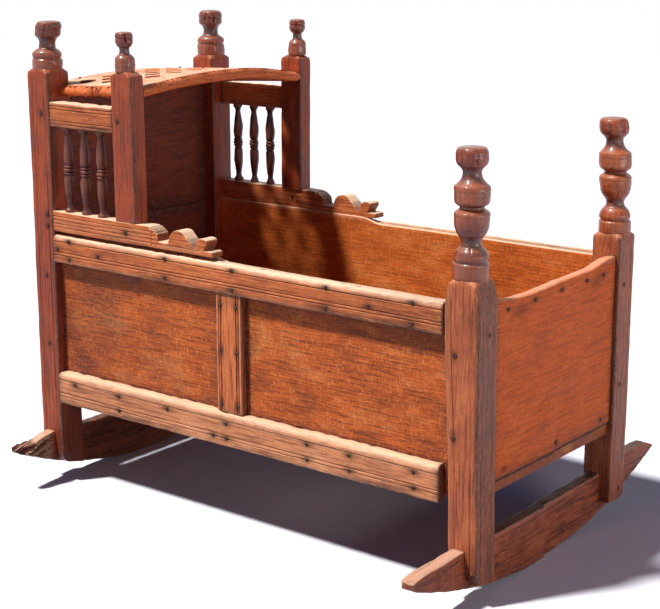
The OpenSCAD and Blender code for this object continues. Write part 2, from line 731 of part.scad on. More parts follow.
// Section of the roof in the Y-Z plane, its crown at the origin
module roof_section() {
    half = hood_in_y;
    edge_z = -roof_rise;
    difference() {
        intersection() {
            translate([0, -roof_up_r]) circle(roof_up_r, $fn = wide_fn);
            translate([-half, -roof_t - roof_hollow]) square([2 * half, roof_t + roof_hollow]);
        }
        translate([0, -roof_t - roof_low_r]) circle(roof_low_r, $fn = wide_fn);
        for (s = [-1, 1])
            translate([s * half, edge_z]) scale([s, 1]) difference() {
                translate([-roof_edge_r, -roof_edge_r]) square([roof_edge_r + 1, 2 * roof_edge_r]);
                translate([-roof_edge_r, -roof_edge_r]) circle(roof_edge_r, $fn = round_fn);
                translate([-2 * roof_edge_r, -2 * roof_edge_r]) square([roof_edge_r, 3 * roof_edge_r]);
            }
    }
}

// Lays a section of the roof along its slope, which falls towards the head
module along_roof()
    translate([hood_front_x, 0, crown_z]) rotate([0, -roof_fall, 0])
        along_x(head_board_out_x - hood_front_x - 4, 4) children();

// Staggered rows of diamond holes behind the roof's front edge
lattice_reach = lattice_hole / sqrt(2);
lattice_pitch = (lattice_hole + lattice_bar) * sqrt(2);
lattice_x = hood_front_x - lattice_front - lattice_reach;
lattice_last_row = floor((lattice_x - lattice_reach + post_in_x) / (lattice_pitch / 2));
lattice_half_y = hood_in_y - lattice_side - lattice_reach;

// Middles of the holes in a row: every other row lies half a pitch aside
function lattice_ys(row) =
    let (aside = row % 2 == 0 ? 0 : lattice_pitch / 2, n = floor((lattice_half_y + aside) / lattice_pitch))
    [for (i = [-n:n]) if (abs(i * lattice_pitch - aside) <= lattice_half_y) i * lattice_pitch - aside];

module lattice_holes()
    for (row = [0:lattice_last_row], y = lattice_ys(row))
        translate([lattice_x - row * lattice_pitch / 2, y, gallery_z]) rotate([0, 0, 45])
            translate([-lattice_hole / 2, -lattice_hole / 2, 0])
                cube([lattice_hole, lattice_hole, crown_z + roof_t - gallery_z]);

module roof_board()
    color(oak_rail) difference() {
        intersection() {
            along_roof() roof_section();
            span([head_board_out_x, -post_out_y, gallery_z],
                [hood_front_x, post_out_y, crown_z + roof_t]);
        }
        for (s = [-1, 1])
            span([-post_out_x, s > 0 ? post_in_y - joint_gap : -post_out_y - 1, gallery_z],
                [-post_in_x + joint_gap, s > 0 ? post_out_y + 1 : joint_gap - post_in_y,
                 crown_z + roof_t]);
        lattice_holes();
        roof_nail_bores();
        for (s = [0, 1]) on_side(s == 1) roof_dowel_bore();
    }

// Everything from the roof's underside up, a joint's clearance lower
module above_roof()
    translate([0, 0, -joint_gap]) along_roof() difference() {
        translate([-post_out_y, -roof_t - roof_hollow]) square([2 * post_out_y, 3 * roof_t]);
        translate([0, -roof_t - roof_low_r]) circle(roof_low_r, $fn = wide_fn);
    }

// Middle of the roof's edge beside a hood post
roof_dowel_z = roof_top_z(hood_mid_x, hood_in_y) - roof_edge_t / 2;

// Bore of the hidden dowel between a near hood post and the roof
module roof_dowel_bore()
    translate([hood_mid_x, -hood_in_y - roof_dowel_l / 2 - 1, roof_dowel_z]) rotate([-90, 0, 0])
        cylinder(d = peg_d, h = roof_dowel_l + 2, $fn = round_fn);

module roof_dowels()
    color(oak_dark) for (s = [0, 1]) on_side(s == 1)
        translate([hood_mid_x, -hood_in_y - roof_dowel_l / 2, roof_dowel_z]) rotate([-90, 0, 0])
            cylinder(d = peg_d - 2 * peg_gap, h = roof_dowel_l, $fn = round_fn);

module head_board_lower()
    color(oak_board) span([head_board_out_x, -post_in_y - head_board_tongue, end_board_z],
        [head_board_in_x, post_in_y + head_board_tongue, side_top_z]);

module head_board_upper()
    color(oak_board) difference() {
        span([head_board_out_x, -post_in_y - head_board_tongue, side_top_z + seam],
            [head_board_in_x, post_in_y + head_board_tongue, head_board_top_z - joint_gap]);
        above_roof();
        roof_nail_bores();
    }

// Outline of the foot board in the Y-Z plane
module foot_board_outline() {
    reach = post_in_y + foot_board_tongue;
    polygon(concat(
        [[-reach, end_board_z], [reach, end_board_z], [reach, foot_board_top_z - scoop_step]],
        [for (i = [14:-1:-14]) [
            post_in_y * i / 14,
            foot_board_top_z - foot_scoop * (1 - pow(abs(i) / 14, scoop_power))
                - (abs(i) == 14 ? scoop_step : 0)]],
        [[-reach, foot_board_top_z - scoop_step]]));
}

module foot_board()
    color(oak_board) difference() {
        along_x(foot_board_in_x, foot_board_out_x) foot_board_outline();
        for (s = [0, 1]) on_side(s == 1) for (z = foot_end_peg_z) end_peg_hole(z);
        foot_nail_bores();
    }

// Floor board number n, counted from the near side, notched round the posts and rebated at its
// ends for the end boards
module floor_board(n) {
    w = 2 * board_out_y / floor_boards;
    y0 = -board_out_y + (n - 1) * w;
    color(oak_board) difference() {
        span([head_board_out_x, y0 + (n == 1 ? 0 : seam / 2), floor_z],
            [foot_board_out_x, y0 + w - (n == floor_boards ? 0 : seam / 2), floor_top_z]);
        for (sx = [-1, 1], sy = [-1, 1])
            translate([sx * (post_in_x + post_side / 2), sy * post_mid_y, floor_z + floor_t / 2])
                cube([post_side + 2 * joint_gap, post_side + 2 * joint_gap, floor_t + 2], center = true);
        span([head_board_out_x - 1, -board_out_y - 1, end_board_z],
            [head_board_in_x + joint_gap, board_out_y + 1, floor_top_z + 1]);
        span([foot_board_in_x - joint_gap, -board_out_y - 1, end_board_z],
            [foot_board_out_x + 1, board_out_y + 1, floor_top_z + 1]);
        floor_nail_bores();
        for (s = [0, 1]) on_side(s == 1) side_nail_bores();
    }
}

// A near peg along Y, from its proud head to y_end
module peg(x, z, y_end)
    translate([x, -post_out_y - peg_proud, z]) rotate([-90, 0, 0])
        cylinder(d = peg_d - 2 * peg_gap, h = post_out_y + peg_proud + y_end, $fn = round_fn);

module post_pegs()
    color(oak_dark) {
        for (z = side_peg_z) {
            peg(post_in_x + foot_peg_in, z, peg_end_y);
            peg(-post_in_x - head_peg_in, z, peg_end_y);
        }
        for (z = scroll_peg_zs) peg(-post_in_x - scroll_peg_in, z, peg_end_y);
        peg(-post_in_x - gallery_peg_in, gallery_peg_z, peg_end_y);
        peg(hood_back_x + hood_peg_in, gallery_peg_z, hood_peg_end_y);
        peg(hood_mid_x, scroll_peg_z, hood_peg_end_y);
    }

module foot_board_pegs()
    color(oak_dark) for (s = [0, 1]) on_side(s == 1) for (z = foot_end_peg_z)
        translate([foot_board_in_x - bury, -foot_end_peg_y, z]) rotate([0, 90, 0])
            cylinder(d = peg_d - 2 * peg_gap, h = post_out_x - foot_board_in_x + bury + peg_proud,
                $fn = round_fn);

// Pins through both cheeks of the posts and the rocker between them
module rocker_pins(x0, x1, head)
    color(oak_dark) for (s = [-1, 1])
        translate([x0 - (head ? peg_proud : 0), s * (post_mid_y + pin_out), pin_z]) rotate([0, 90, 0])
            cylinder(d = peg_d - 2 * peg_gap, h = x1 - x0 + peg_proud, $fn = round_fn);

// A wrought nail driven along +Y, its head on the face at the origin
module nail(shank)
    rotate([-90, 0, 0]) rotate_extrude($fn = 24)
        polygon([[0, -0.25 * nail_head_d], [0.28 * nail_head_d, -0.18 * nail_head_d],
                 [nail_head_d / 2, -0.03 * nail_head_d], [nail_head_d / 2, 0], [nail_d / 2, 0],
                 [nail_d / 2, shank - nail_d], [nail_d / 6, shank], [0, shank]]);

// Hole for a nail, cut from just outside the face
module nail_bore(shank)
    rotate([-90, 0, 0]) translate([0, 0, -1])
        cylinder(d = nail_d + 2 * peg_gap, h = shank + peg_gap + 1, $fn = 24);

// Places of the nails in a side: [X, outer Y, Z, length]
rail_l = 2 * post_in_x;
nail_stop = 3;
side_nail_l = rail_t + board_t - nail_stop;
floor_nail_l = rail_t + 0.6 * nail_grip;
side_nail_places = concat(
    [for (s = [0.047, 0.323, 0.5, 0.73, 0.923], z = [top_rail_z + 8.5, side_top_z - 7.5])
        [s * rail_l - post_in_x, rail_out_y, z, side_nail_l]],
    [for (s = [0.012, 0.133, 0.827])
        [s * rail_l - post_in_x, rail_out_y, top_rail_z + short_nail_up, side_nail_l]],
    [for (s = [0.05, 0.18, 0.32, 0.48, 0.685, 0.785, 0.93])
        [s * rail_l - post_in_x, rail_out_y, panel_z - 18, side_nail_l]],
    [for (s = [0.18, 0.445, 0.48, 0.685, 0.785, 0.93])
        [s * rail_l - post_in_x, rail_out_y, floor_z + 6, floor_nail_l]],
    [for (sx = [-1, 1], z = [0.07, 0.52, 0.9])
        [muntin_offset + sx * (muntin_w / 2 - muntin_line_inset), board_out_y + muntin_t,
         panel_z + panel_h * z,
         muntin_t + board_t - nail_stop]]
);

module side_nail_bores()
    for (p = side_nail_places) translate([p[0], -p[1], p[2]]) nail_bore(p[3]);

module side_nails()
    color(iron) for (p = side_nail_places) translate([p[0], -p[1], p[2]]) nail(p[3]);

// Nails in the foot board: [share of the half width, height]
foot_nail_places = concat(
    [for (s = [-0.82, 0.03, 0.82]) [s, floor_top_z + 13]],
    [for (s = [-0.8, -0.38, 0.05, 0.48, 0.77]) [s, side_top_z - 18]]
);

module at_foot_nails()
    for (p = foot_nail_places)
        translate([foot_board_out_x, p[0] * post_in_y, p[1]]) rotate([0, 0, 90]) children();

module foot_nail_bores() at_foot_nails() nail_bore(foot_board_t - nail_stop);

module foot_board_nails() color(iron) at_foot_nails() nail(foot_board_t - nail_stop);

floor_nail_xs = [for (i = [-2:2]) i * post_in_x * 0.44];

// Nails up through the floor boards into the side boards
module at_floor_nails()
    for (x = floor_nail_xs, s = [-1, 1])
        translate([x, s * (board_out_y - board_t / 2), floor_z]) rotate([90, 0, 0]) children();

module floor_nail_bores() at_floor_nails() nail_bore(floor_t + nail_grip);

module floor_nails() color(iron) at_floor_nails() nail(floor_t + nail_grip);

module at_roof_nails()
    for (s = [-1, 1])
        translate([head_board_out_x + head_board_t / 2, s * post_in_y * 0.7,
                   roof_top_z(head_board_out_x + head_board_t / 2, post_in_y * 0.7)])
            rotate([-90, 0, 0]) children();

module roof_nail_bores() at_roof_nails() nail_bore(roof_t + nail_grip);

module roof_nails() color(iron) at_roof_nails() nail(roof_t + nail_grip);

foot_post();  // foot_post_near
on_side(true) foot_post();  // foot_post_far
head_post();  // head_post_near
on_side(true) head_post();  // head_post_far
hood_post();  // hood_post_near
on_side(true) hood_post();  // hood_post_far
color(oak_dark) rocker(foot_rocker_x, rocker_reach);  // foot_rocker
color(oak_dark) rocker(head_rocker_x, worn_reach);  // head_rocker
side_board();  // side_board_near
on_side(true) side_board();  // side_board_far
top_rail();  // top_rail_near
on_side(true) top_rail();  // top_rail_far
bottom_rail();  // bottom_rail_near
on_side(true) bottom_rail();  // bottom_rail_far
muntin();  // muntin_near
on_side(true) muntin();  // muntin_far
scroll_rail();  // scroll_rail_near
on_side(true) scroll_rail();  // scroll_rail_far
gallery_rail();  // gallery_rail_near
on_side(true) gallery_rail();  // gallery_rail_far
spindle(1);  // spindle_near_1
spindle(2);  // spindle_near_2
spindle(3);  // spindle_near_3
on_side(true) spindle(1);  // spindle_far_1
on_side(true) spindle(2);  // spindle_far_2
on_side(true) spindle(3);  // spindle_far_3
roof_board();
head_board_lower();
head_board_upper();
foot_board();
floor_board(1);  // floor_board_near
floor_board(2);  // floor_board_middle
floor_board(3);  // floor_board_far
post_pegs();  // post_pegs_near
on_side(true) post_pegs();  // post_pegs_far
foot_board_pegs();
rocker_pins(post_in_x, post_out_x, false);  // foot_rocker_pins
rocker_pins(-post_out_x, -post_in_x, true);  // head_rocker_pins
roof_dowels();
side_nails();  // side_nails_near
on_side(true) side_nails();  // side_nails_far
foot_board_nails();
floor_nails();
roof_nails();
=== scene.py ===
import math
import bmesh
import bpy
from mathutils import Matrix, Vector, noise


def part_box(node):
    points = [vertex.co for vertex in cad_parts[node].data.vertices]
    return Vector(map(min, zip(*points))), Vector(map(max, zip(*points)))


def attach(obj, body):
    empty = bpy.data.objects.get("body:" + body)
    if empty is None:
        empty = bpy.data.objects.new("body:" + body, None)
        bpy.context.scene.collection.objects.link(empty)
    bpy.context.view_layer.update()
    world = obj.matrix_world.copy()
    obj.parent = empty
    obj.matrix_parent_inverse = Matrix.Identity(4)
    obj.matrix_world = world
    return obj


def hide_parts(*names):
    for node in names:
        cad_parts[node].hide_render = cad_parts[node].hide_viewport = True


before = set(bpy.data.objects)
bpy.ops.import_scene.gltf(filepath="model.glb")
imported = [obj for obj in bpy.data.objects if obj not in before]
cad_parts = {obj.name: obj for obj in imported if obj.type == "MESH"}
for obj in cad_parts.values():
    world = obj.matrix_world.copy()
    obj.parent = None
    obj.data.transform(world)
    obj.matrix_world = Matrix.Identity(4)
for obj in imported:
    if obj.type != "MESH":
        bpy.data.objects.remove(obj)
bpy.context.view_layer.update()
mm = 0.001
noise.seed_set(7)  # fixes the draw behind the frame's sway
sides = ("near", "far")
axes = [Vector((1, 0, 0)), Vector((0, 1, 0)), Vector((0, 0, 1))]

print("camera, floor and light")
cameraView = {"place": (1.5601, -1.9815, 0.9565), "turn": 37.956, "down": 13.77, "lens": 85.08}
lampSizes = {
    "sunFrom": (-0.96, -1.41, 3.0), "sunPower": 5.0, "sunSoft": 5.0, "sunColour": "FFFAF2",
    "fills": {"fillLampRight": {"place": (3.3, 0.1, 0.8), "power": 35},
              "fillLampFront": {"place": (-0.9, -3.2, 0.5), "power": 9}},
    "fillAim": (0, 0, 0.3), "fillWide": 2.0, "fillHigh": 0.7, "fillColour": "FFF3EA",
    "skyLight": 0.07, "skyColour": "92ACFF",
}
floorSize = {"half": 9.0, "seen": "E6E9F8", "bounce": "7E7C80"}


def linearColour(hexText):
    parts = [int(hexText[i:i + 2], 16) / 255 for i in (0, 2, 4)]
    return tuple(c / 12.92 if c <= 0.04045 else ((c + 0.055) / 1.055) ** 2.4
                 for c in parts) + (1.0,)


def addNode(tree, kind, inputs=None, give=0, **settings):
    # adds one node, fills or links its inputs and gives back one output
    node = tree.nodes.new("ShaderNode" + kind)
    for key, value in settings.items():
        setattr(node, key, value)
    for key, value in (inputs or {}).items():
        if isinstance(value, bpy.types.NodeSocket):
            tree.links.new(value, node.inputs[key])
        else:
            node.inputs[key].default_value = value
    return node.outputs[give] if node.outputs else node


def startTree(owner):
    owner.use_nodes = True
    owner.node_tree.nodes.clear()
    return owner.node_tree


def seenDirectly(tree):
    # 1 for camera, glossy and transmission rays, 0 for the light that bounces
    seen = addNode(tree, "LightPath", give="Is Camera Ray")
    for ray in ("Is Glossy Ray", "Is Transmission Ray"):
        seen = addNode(tree, "Math", {0: seen, 1: addNode(tree, "LightPath", give=ray)},
                       operation="MAXIMUM")
    return seen


scene = bpy.context.scene
scene.view_settings.view_transform = "Standard"

cameraData = bpy.data.cameras.new("camera")
cameraData.sensor_width = 36
cameraData.lens = cameraView["lens"]
camera = bpy.data.objects.new("camera", cameraData)
camera.location = cameraView["place"]
camera.rotation_euler = (math.radians(90 - cameraView["down"]), 0,
                         math.radians(cameraView["turn"]))
scene.collection.objects.link(camera)
scene.camera = camera

scene.world = bpy.data.worlds.new("studio")
worldTree = startTree(scene.world)
skyLight = addNode(worldTree, "Background", {"Color": linearColour(lampSizes["skyColour"]),
                                             "Strength": lampSizes["skyLight"]})
backdrop = addNode(worldTree, "Background", {"Color": (1, 1, 1, 1), "Strength": 1.0})
worldMix = addNode(worldTree, "MixShader", {0: seenDirectly(worldTree), 1: skyLight, 2: backdrop})
addNode(worldTree, "OutputWorld", {"Surface": worldMix})


def addLamp(name, kind, place, aim, power, hexText, **settings):
    lampData = bpy.data.lights.new(name, kind)
    lampData.energy = power
    lampData.color = linearColour(hexText)[:3]
    for key, value in settings.items():
        setattr(lampData, key, value)
    lamp = bpy.data.objects.new(name, lampData)
    lamp.location = place
    lamp.rotation_euler = (Vector(aim) - Vector(place)).to_track_quat("-Z", "Y").to_euler()
    lamp.visible_camera = False
    scene.collection.objects.link(lamp)


addLamp("sunLamp", "SUN", lampSizes["sunFrom"], (0, 0, 0), lampSizes["sunPower"],
        lampSizes["sunColour"], angle=math.radians(lampSizes["sunSoft"]))
for name, fill in lampSizes["fills"].items():
    addLamp(name, "AREA", fill["place"], lampSizes["fillAim"], fill["power"],
            lampSizes["fillColour"], shape="RECTANGLE", size=lampSizes["fillWide"],
            size_y=lampSizes["fillHigh"])

# the floor looks white, and sends less light back up than a white one would
floorMaterial = bpy.data.materials.new("paleFloor")
floorTree = startTree(floorMaterial)
floorSeen, floorBounce = (
    addNode(floorTree, "BsdfDiffuse", {"Color": linearColour(floorSize[key])})
    for key in ("seen", "bounce"))
floorMix = addNode(floorTree, "MixShader",
                   {0: seenDirectly(floorTree), 1: floorBounce, 2: floorSeen})
addNode(floorTree, "OutputMaterial", {"Surface": floorMix})
floorBm = bmesh.new()
bmesh.ops.create_grid(floorBm, x_segments=2, y_segments=2, size=floorSize["half"])
floorMesh = bpy.data.meshes.new("studioFloor")
floorBm.to_mesh(floorMesh)
floorBm.free()
floorMesh.materials.append(floorMaterial)
studioFloor = bpy.data.objects.new("studioFloor", floorMesh)
scene.collection.objects.link(studioFloor)

print("finishes")
# where the oak's grain runs, as the turn that lays it along X
grainTurns = {"X": (0, 0, 0), "Y": (0, 0, -math.pi / 2), "Z": (0, math.pi / 2, 0)}


def agedOak(name, look):
    # riven oak under old orange varnish: broken dark grain, short bright flecks across it, darker
    # patches of thick varnish, pale wood where hands wore it off with a pale painted highlight on
    # the tops, grime and painted shade in corners
    material = bpy.data.materials.new(name)
    tree = startTree(material)
    place = addNode(tree, "TexCoord", give="Object")
    laid = addNode(tree, "Mapping", {"Vector": place, "Rotation": grainTurns[look["grain"]]})
    drift = addNode(tree, "TexNoise", {"Vector": laid, "Scale": 1 / (look["bendSize"] * mm),
                                       "Detail": 3.0}, "Color")
    drift = addNode(tree, "VectorMath", {0: drift, 1: (0.5, 0.5, 0.5)}, operation="SUBTRACT")
    bent = addNode(tree, "VectorMath", {0: drift, 1: (look["bendDepth"] * mm,) * 3, 2: laid},
                   operation="MULTIPLY_ADD")
    # each pattern is one noise at its real width in mm, drawn out along the grain or across it:
    # width, stretch, detail, roughness
    patterns = {
        "rings": (look["ring"], (0.035, 1, 1), 3.0, 0.55),
        "fibres": (look["fibre"], (0.09, 1, 1), 6.0, 0.68),
        "chatter": (look["chatter"], (1, 0.35, 0.35), 5.0, 0.72),
        "varnish": (look["blotch"], (0.55, 1, 1), 8.0, 0.68),
        "fleck": (look["fleck"], (0.6, 1, 1), 3.0, 0.6),
    }
    for key, (width, stretch, detail, rough) in patterns.items():
        drawn = addNode(tree, "VectorMath", {0: bent, 1: stretch}, operation="MULTIPLY")
        patterns[key] = addNode(tree, "TexNoise", {"Vector": drawn, "Scale": 1 / (width * mm),
                                                   "Detail": detail, "Roughness": rough}, "Fac")
    marks = {key: addNode(tree, "Attribute", give="Fac", attribute_name=key)
             for key in ("wear", "stain", "grime")}
    pale, mid, deep, bright = look["tones"]
    # layers of colour: pattern, where it starts and is full, strength, colour, what limits it
    layers = (
        ("fibres", 0.36, 0.62, 1.0, pale, None),
        ("rings", 0.5, 0.62, look["ringDark"], deep, None),
        ("varnish", 0.47, 0.33, look["patchPale"], bright, None),
        ("chatter", 0.55, 0.66, look["chatterPale"], bright, None),
        ("varnish", 0.5, 0.66, look["blotchDark"], look["varnish"], None),
        ("chatter", 0.44, 0.34, look["chatterDark"], deep, None),
        # the wear layer also paints a highlight on tops, the grime layer also paints shade in
        # corners, recesses and on shaded sides, the stain layer also paints the shade of a joint
        ("fibres", 0.22, 0.44, look["wearPale"], look["worn"], "wear"),
        ("fibres", 0.75, 0.45, look["grimeShadeDark"], look["grimeShadeTone"], "grime"),
        ("fleck", 0.6, 0.66, look["dust"], look["dustTone"], "grime"),
        ("fibres", 0.0, 0.3, 1.0, look["stainShadeTone"], "stain"),
    )
    colour = linearColour(mid)
    for key, low, high, strength, hexText, limit in layers:
        mask = addNode(tree, "MapRange", {0: patterns[key], 1: low, 2: high, 4: strength})
        if limit:
            mask = addNode(tree, "Math", {0: mask, 1: marks[limit]}, operation="MULTIPLY")
        colour = addNode(tree, "Mix", {0: mask, 6: colour, 7: linearColour(hexText)}, 2,
                         data_type="RGBA")
    relief = patterns["rings"]
    for key in ("fibres", "chatter"):
        relief = addNode(tree, "Math", {0: patterns[key], 1: look["reliefs"][key], 2: relief},
                         operation="MULTIPLY_ADD")
    bump = addNode(tree, "Bump", {"Height": relief, "Strength": look["bump"],
                                  "Distance": look["bumpDepth"] * mm})
    roughness = addNode(tree, "MapRange", {0: patterns["varnish"], 1: 0.3, 2: 0.7,
                                           3: look["rough"] + 0.1, 4: look["rough"] - 0.08})
    shader = addNode(tree, "BsdfPrincipled", {
        "Base Color": colour, "Roughness": roughness, "IOR": 1.5,
        "Specular IOR Level": look["gloss"], "Coat Weight": look["coat"],
        "Coat Roughness": look["coatRough"], "Normal": bump})
    addNode(tree, "OutputMaterial", {"Surface": shader})
    return material


# tones: the fibres' pale and middle colours, the dark rings, the bright flecks
oakLook = {
    "grain": "X", "tones": ("DC7236", "AC5026", "5C2618", "F0A468"), "varnish": "5A2418",
    "worn": "F6DABC", "grimeShadeTone": "321A1E", "dustTone": "C8AE9C", "stainShadeTone": "1D1110",
    "bendSize": 130, "bendDepth": 9, "ring": 2.7, "ringDark": 0.65, "fibre": 1.6, "chatter": 2.8,
    "chatterPale": 0.6, "chatterDark": 0.4, "blotch": 45, "blotchDark": 0.45, "patchPale": 0.35,
    "fleck": 2.0, "dust": 0.45, "wearPale": 0.9, "grimeShadeDark": 0.85, "bump": 0.6, "bumpDepth": 1.2,
    "reliefs": {"fibres": 0.6, "chatter": 0.7}, "rough": 0.5, "gloss": 0.2, "coat": 0.0,
    "coatRough": 0.3,
}
finishLooks = {
    # side boards: orange varnish worn to bright flecks
    "orangeVarnishedOak": {},
    # inside of the far board: a brighter copy of the side boards' oak, painted light for the light
    # that falls on it
    "litInnerOak": {"tones": ("E47C36", "BE5C28", "84381A", "F4A466"), "blotchDark": 0.3,
                       "grimeShadeDark": 0.7, "ringDark": 0.4},
    # foot board: the same wood, even and finely lined
    "footBoardOak": {"grain": "Y", "tones": ("EA7436", "C85A2A", "84361E", "F49058"),
                     "chatterPale": 0.3, "blotchDark": 0.2, "ringDark": 0.45, "gloss": 0.1},
    # head boards: the darkest tones, painted shade for their place under the hood
    "shadedHeadOak": {"grain": "Y", "tones": ("84402C", "582820", "34191A", "9C5034"),
                    "worn": "7A4430", "chatterPale": 0.25, "blotchDark": 0.7},
    # rails: split pale wood with fine straight grain, rubbed nearly bare
    "rubbedRailOak": {"tones": ("E08450", "BA6038", "6C3424", "E89C6A"), "ringDark": 0.6,
                      "chatterPale": 0.25, "chatterDark": 0.15, "bendDepth": 5, "blotch": 60,
                      "blotchDark": 0.3},
    # bottom rails: scrubbed barer than the others
    "bareRailOak": {"like": "rubbedRailOak", "tones": ("E8A074", "C87C58", "7A4434", "F6BC92"),
                    "blotchDark": 0.25},
    # muntins: the same wood as the rails, standing
    "verticalRailOak": {"like": "rubbedRailOak", "grain": "Z", "ringDark": 0.7,
                        "tones": ("EA8A54", "C86A42", "6B3426", "EAA272"),
                        "chatterPale": 0.2, "blotch": 45, "blotchDark": 0.25},
    # foot posts: reddish brown, smooth from handling
    "reddishPostOak": {"grain": "Z", "tones": ("C67048", "A05236", "58291F", "D8885A"),
                       "worn": "E8A878", "chatterPale": 0.15, "chatterDark": 0.2, "ring": 4.0,
                       "ringDark": 0.6, "fibre": 2.0, "gloss": 0.3, "rough": 0.45},
    # head and hood posts: a deeper orange under thicker varnish
    "deepOrangeOak": {"like": "reddishPostOak", "worn": "D08C5C", "ringDark": 0.65,
                      "tones": ("AE4820", "86361A", "4A2016", "C46C40"),
                      "gloss": 0.35, "rough": 0.42},
    # finials: turned wood takes more varnish, so it is darker and glossier
    "glossyTurnedOak": {"grain": "Z", "tones": ("8E3820", "662618", "361614", "B05C38"),
                        "varnish": "341816", "worn": "C8764C", "ring": 4.0, "chatterPale": 0.2,
                        "gloss": 0.35, "rough": 0.4, "coat": 0.45, "coatRough": 0.16},
    # far foot finial: the same with a thinner coat, its tones painted brighter for the light that
    # falls on it
    "litTurnedOak": {"like": "glossyTurnedOak", "varnish": "401A12", "worn": "CC7C48",
                        "tones": ("AC4820", "803216", "401A12", "C66A36"),
                        "chatterPale": 0.25, "coat": 0.35, "coatRough": 0.18},
    # spindles: the darkest turned wood, painted shade for the shade they stand in
    "darkSpindleOak": {"like": "glossyTurnedOak", "varnish": "261212", "worn": "8E5240",
                       "tones": ("66281E", "481C18", "2A1212", "7E3C2E"), "ring": 2.7,
                       "chatterPale": 0.1, "gloss": 0.3, "coat": 0.2, "coatRough": 0.25},
    # rockers: scuffed, with open dark grain near the floor
    "scuffedRockerOak": {"grain": "Y", "tones": ("B05E40", "864430", "46211C", "CC8058"),
                         "varnish": "45231C", "ring": 5.0, "ringDark": 0.8, "fibre": 2.4,
                         "bendDepth": 16, "worn": "DDB298"},
    # roof: tones painted brighter for the light on its front edge; its top is bleached, with a
    # painted highlight, through its wear
    "litRoofOak": {"grain": "Y", "tones": ("EE8A56", "D66E40", "8E4628", "F4A67A"),
                        "ring": 4.0, "ringDark": 0.45, "blotchDark": 0.15, "gloss": 0.1},
    # floor boards: plain and unvarnished
    "plainFloorOak": {"tones": ("A65A36", "8C4528", "5E2E1E", "F0A468"), "chatterPale": 0.2},
    # pegs: dark end grain
    "endGrainOak": {"grain": "Y", "tones": ("5C3527", "452720", "2C1A17", "7A4A35"),
                    "worn": "8A5A44", "ring": 3.0},
}
finishes = {}
for name, changes in finishLooks.items():
    parent = finishLooks.get(changes.get("like"), {})
    finishes[name] = agedOak(name, {**oakLook, **parent, **changes})

# wrought iron: hand-forged nail heads, near black and dull, rusty brown in the hollows
ironLook = {"dark": "221A1C", "rust": "41281F", "rustSize": 2.5, "bump": 0.6, "bumpDepth": 0.5,
            "metal": 0.4, "rough": 0.62}
ironMaterial = bpy.data.materials.new("wroughtIron")
ironTree = startTree(ironMaterial)
ironPlace = addNode(ironTree, "TexCoord", give="Object")
rust = addNode(ironTree, "TexNoise", {"Vector": ironPlace, "Detail": 4.0,
                                      "Scale": 1 / (ironLook["rustSize"] * mm)})
ironColour = addNode(ironTree, "Mix", {0: rust, 6: linearColour(ironLook["dark"]),
                                       7: linearColour(ironLook["rust"])}, 2, data_type="RGBA")
ironBump = addNode(ironTree, "Bump", {"Height": rust, "Strength": ironLook["bump"],
                                      "Distance": ironLook["bumpDepth"] * mm})
ironShader = addNode(ironTree, "BsdfPrincipled", {
    "Base Color": ironColour, "Metallic": ironLook["metal"], "Roughness": ironLook["rough"],
    "Normal": ironBump})
addNode(ironTree, "OutputMaterial", {"Surface": ironShader})
finishes["wroughtIron"] = ironMaterial


def corners(node):
    low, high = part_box(node)
    return Vector(low), Vector(high)


def islandBoxes(node):
    # lowest and highest corners of each separate piece in a CAD node
    bm = bmesh.new()
    bm.from_mesh(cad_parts[node].data)
    bmesh.ops.remove_doubles(bm, verts=bm.verts, dist=0.01 * mm)
    waiting = set(bm.verts)
    boxes = []
    while waiting:
        stack = [waiting.pop()]
        found = list(stack)
        while stack:
            for edge in stack.pop().link_edges:
                for v in edge.verts:
                    if v in waiting:
                        waiting.discard(v)
                        stack.append(v)
                        found.append(v)
        boxes.append((Vector([min(v.co[i] for v in found) for i in range(3)]),
                      Vector([max(v.co[i] for v in found) for i in range(3)])))
    bm.free()
    return sorted(boxes, key=lambda pair: (round(pair[0].x, 4), round(pair[0].z, 4)))


def startBox(low, high):
    bm = bmesh.new()
    bmesh.ops.create_cube(bm, size=1.0)
    bmesh.ops.scale(bm, vec=high - low, verts=bm.verts)
    bmesh.ops.translate(bm, vec=(low + high) / 2, verts=bm.verts)
    return bm


def thicken(bm, way):
    # pushes a flat outline out into a slab
    pushed = bmesh.ops.extrude_face_region(bm, geom=bm.faces[:])
    bmesh.ops.translate(bm, vec=way, verts=[part for part in pushed["geom"]
                                            if isinstance(part, bmesh.types.BMVert)])
    bmesh.ops.recalc_face_normals(bm, faces=bm.faces)


def roundEdges(bm, edges, radius, segments=2):
    return bmesh.ops.bevel(bm, geom=edges, offset=radius * mm, offset_type="OFFSET",
                           segments=segments, profile=0.5, affect="EDGES", material=-1)


def sharpEdges(bm, angle=50):
    return [e for e in bm.edges
            if len(e.link_faces) == 2 and e.calc_face_angle() > math.radians(angle)]


def cutInto(bm, steps):
    # subdivides the edges that run along each axis to about the given step, in mm
    for axis, step in enumerate(steps):
        if not step:
            continue
        byCount = {}
        for edge in bm.edges:
            way = edge.verts[1].co - edge.verts[0].co
            cuts = round(way.length / (step * mm)) - 1
            if cuts > 0 and abs(way[axis]) > 0.999 * way.length:
                byCount.setdefault(cuts, []).append(edge)
        for cuts, edges in byCount.items():
            bmesh.ops.subdivide_edges(bm, edges=edges, cuts=cuts, use_grid_fill=True)


def slicePlane(bm, normal, at, parts=None):
    bmesh.ops.bisect_plane(bm, geom=parts or bm.verts[:] + bm.edges[:] + bm.faces[:],
                           dist=0.002 * mm, plane_co=at, plane_no=normal)


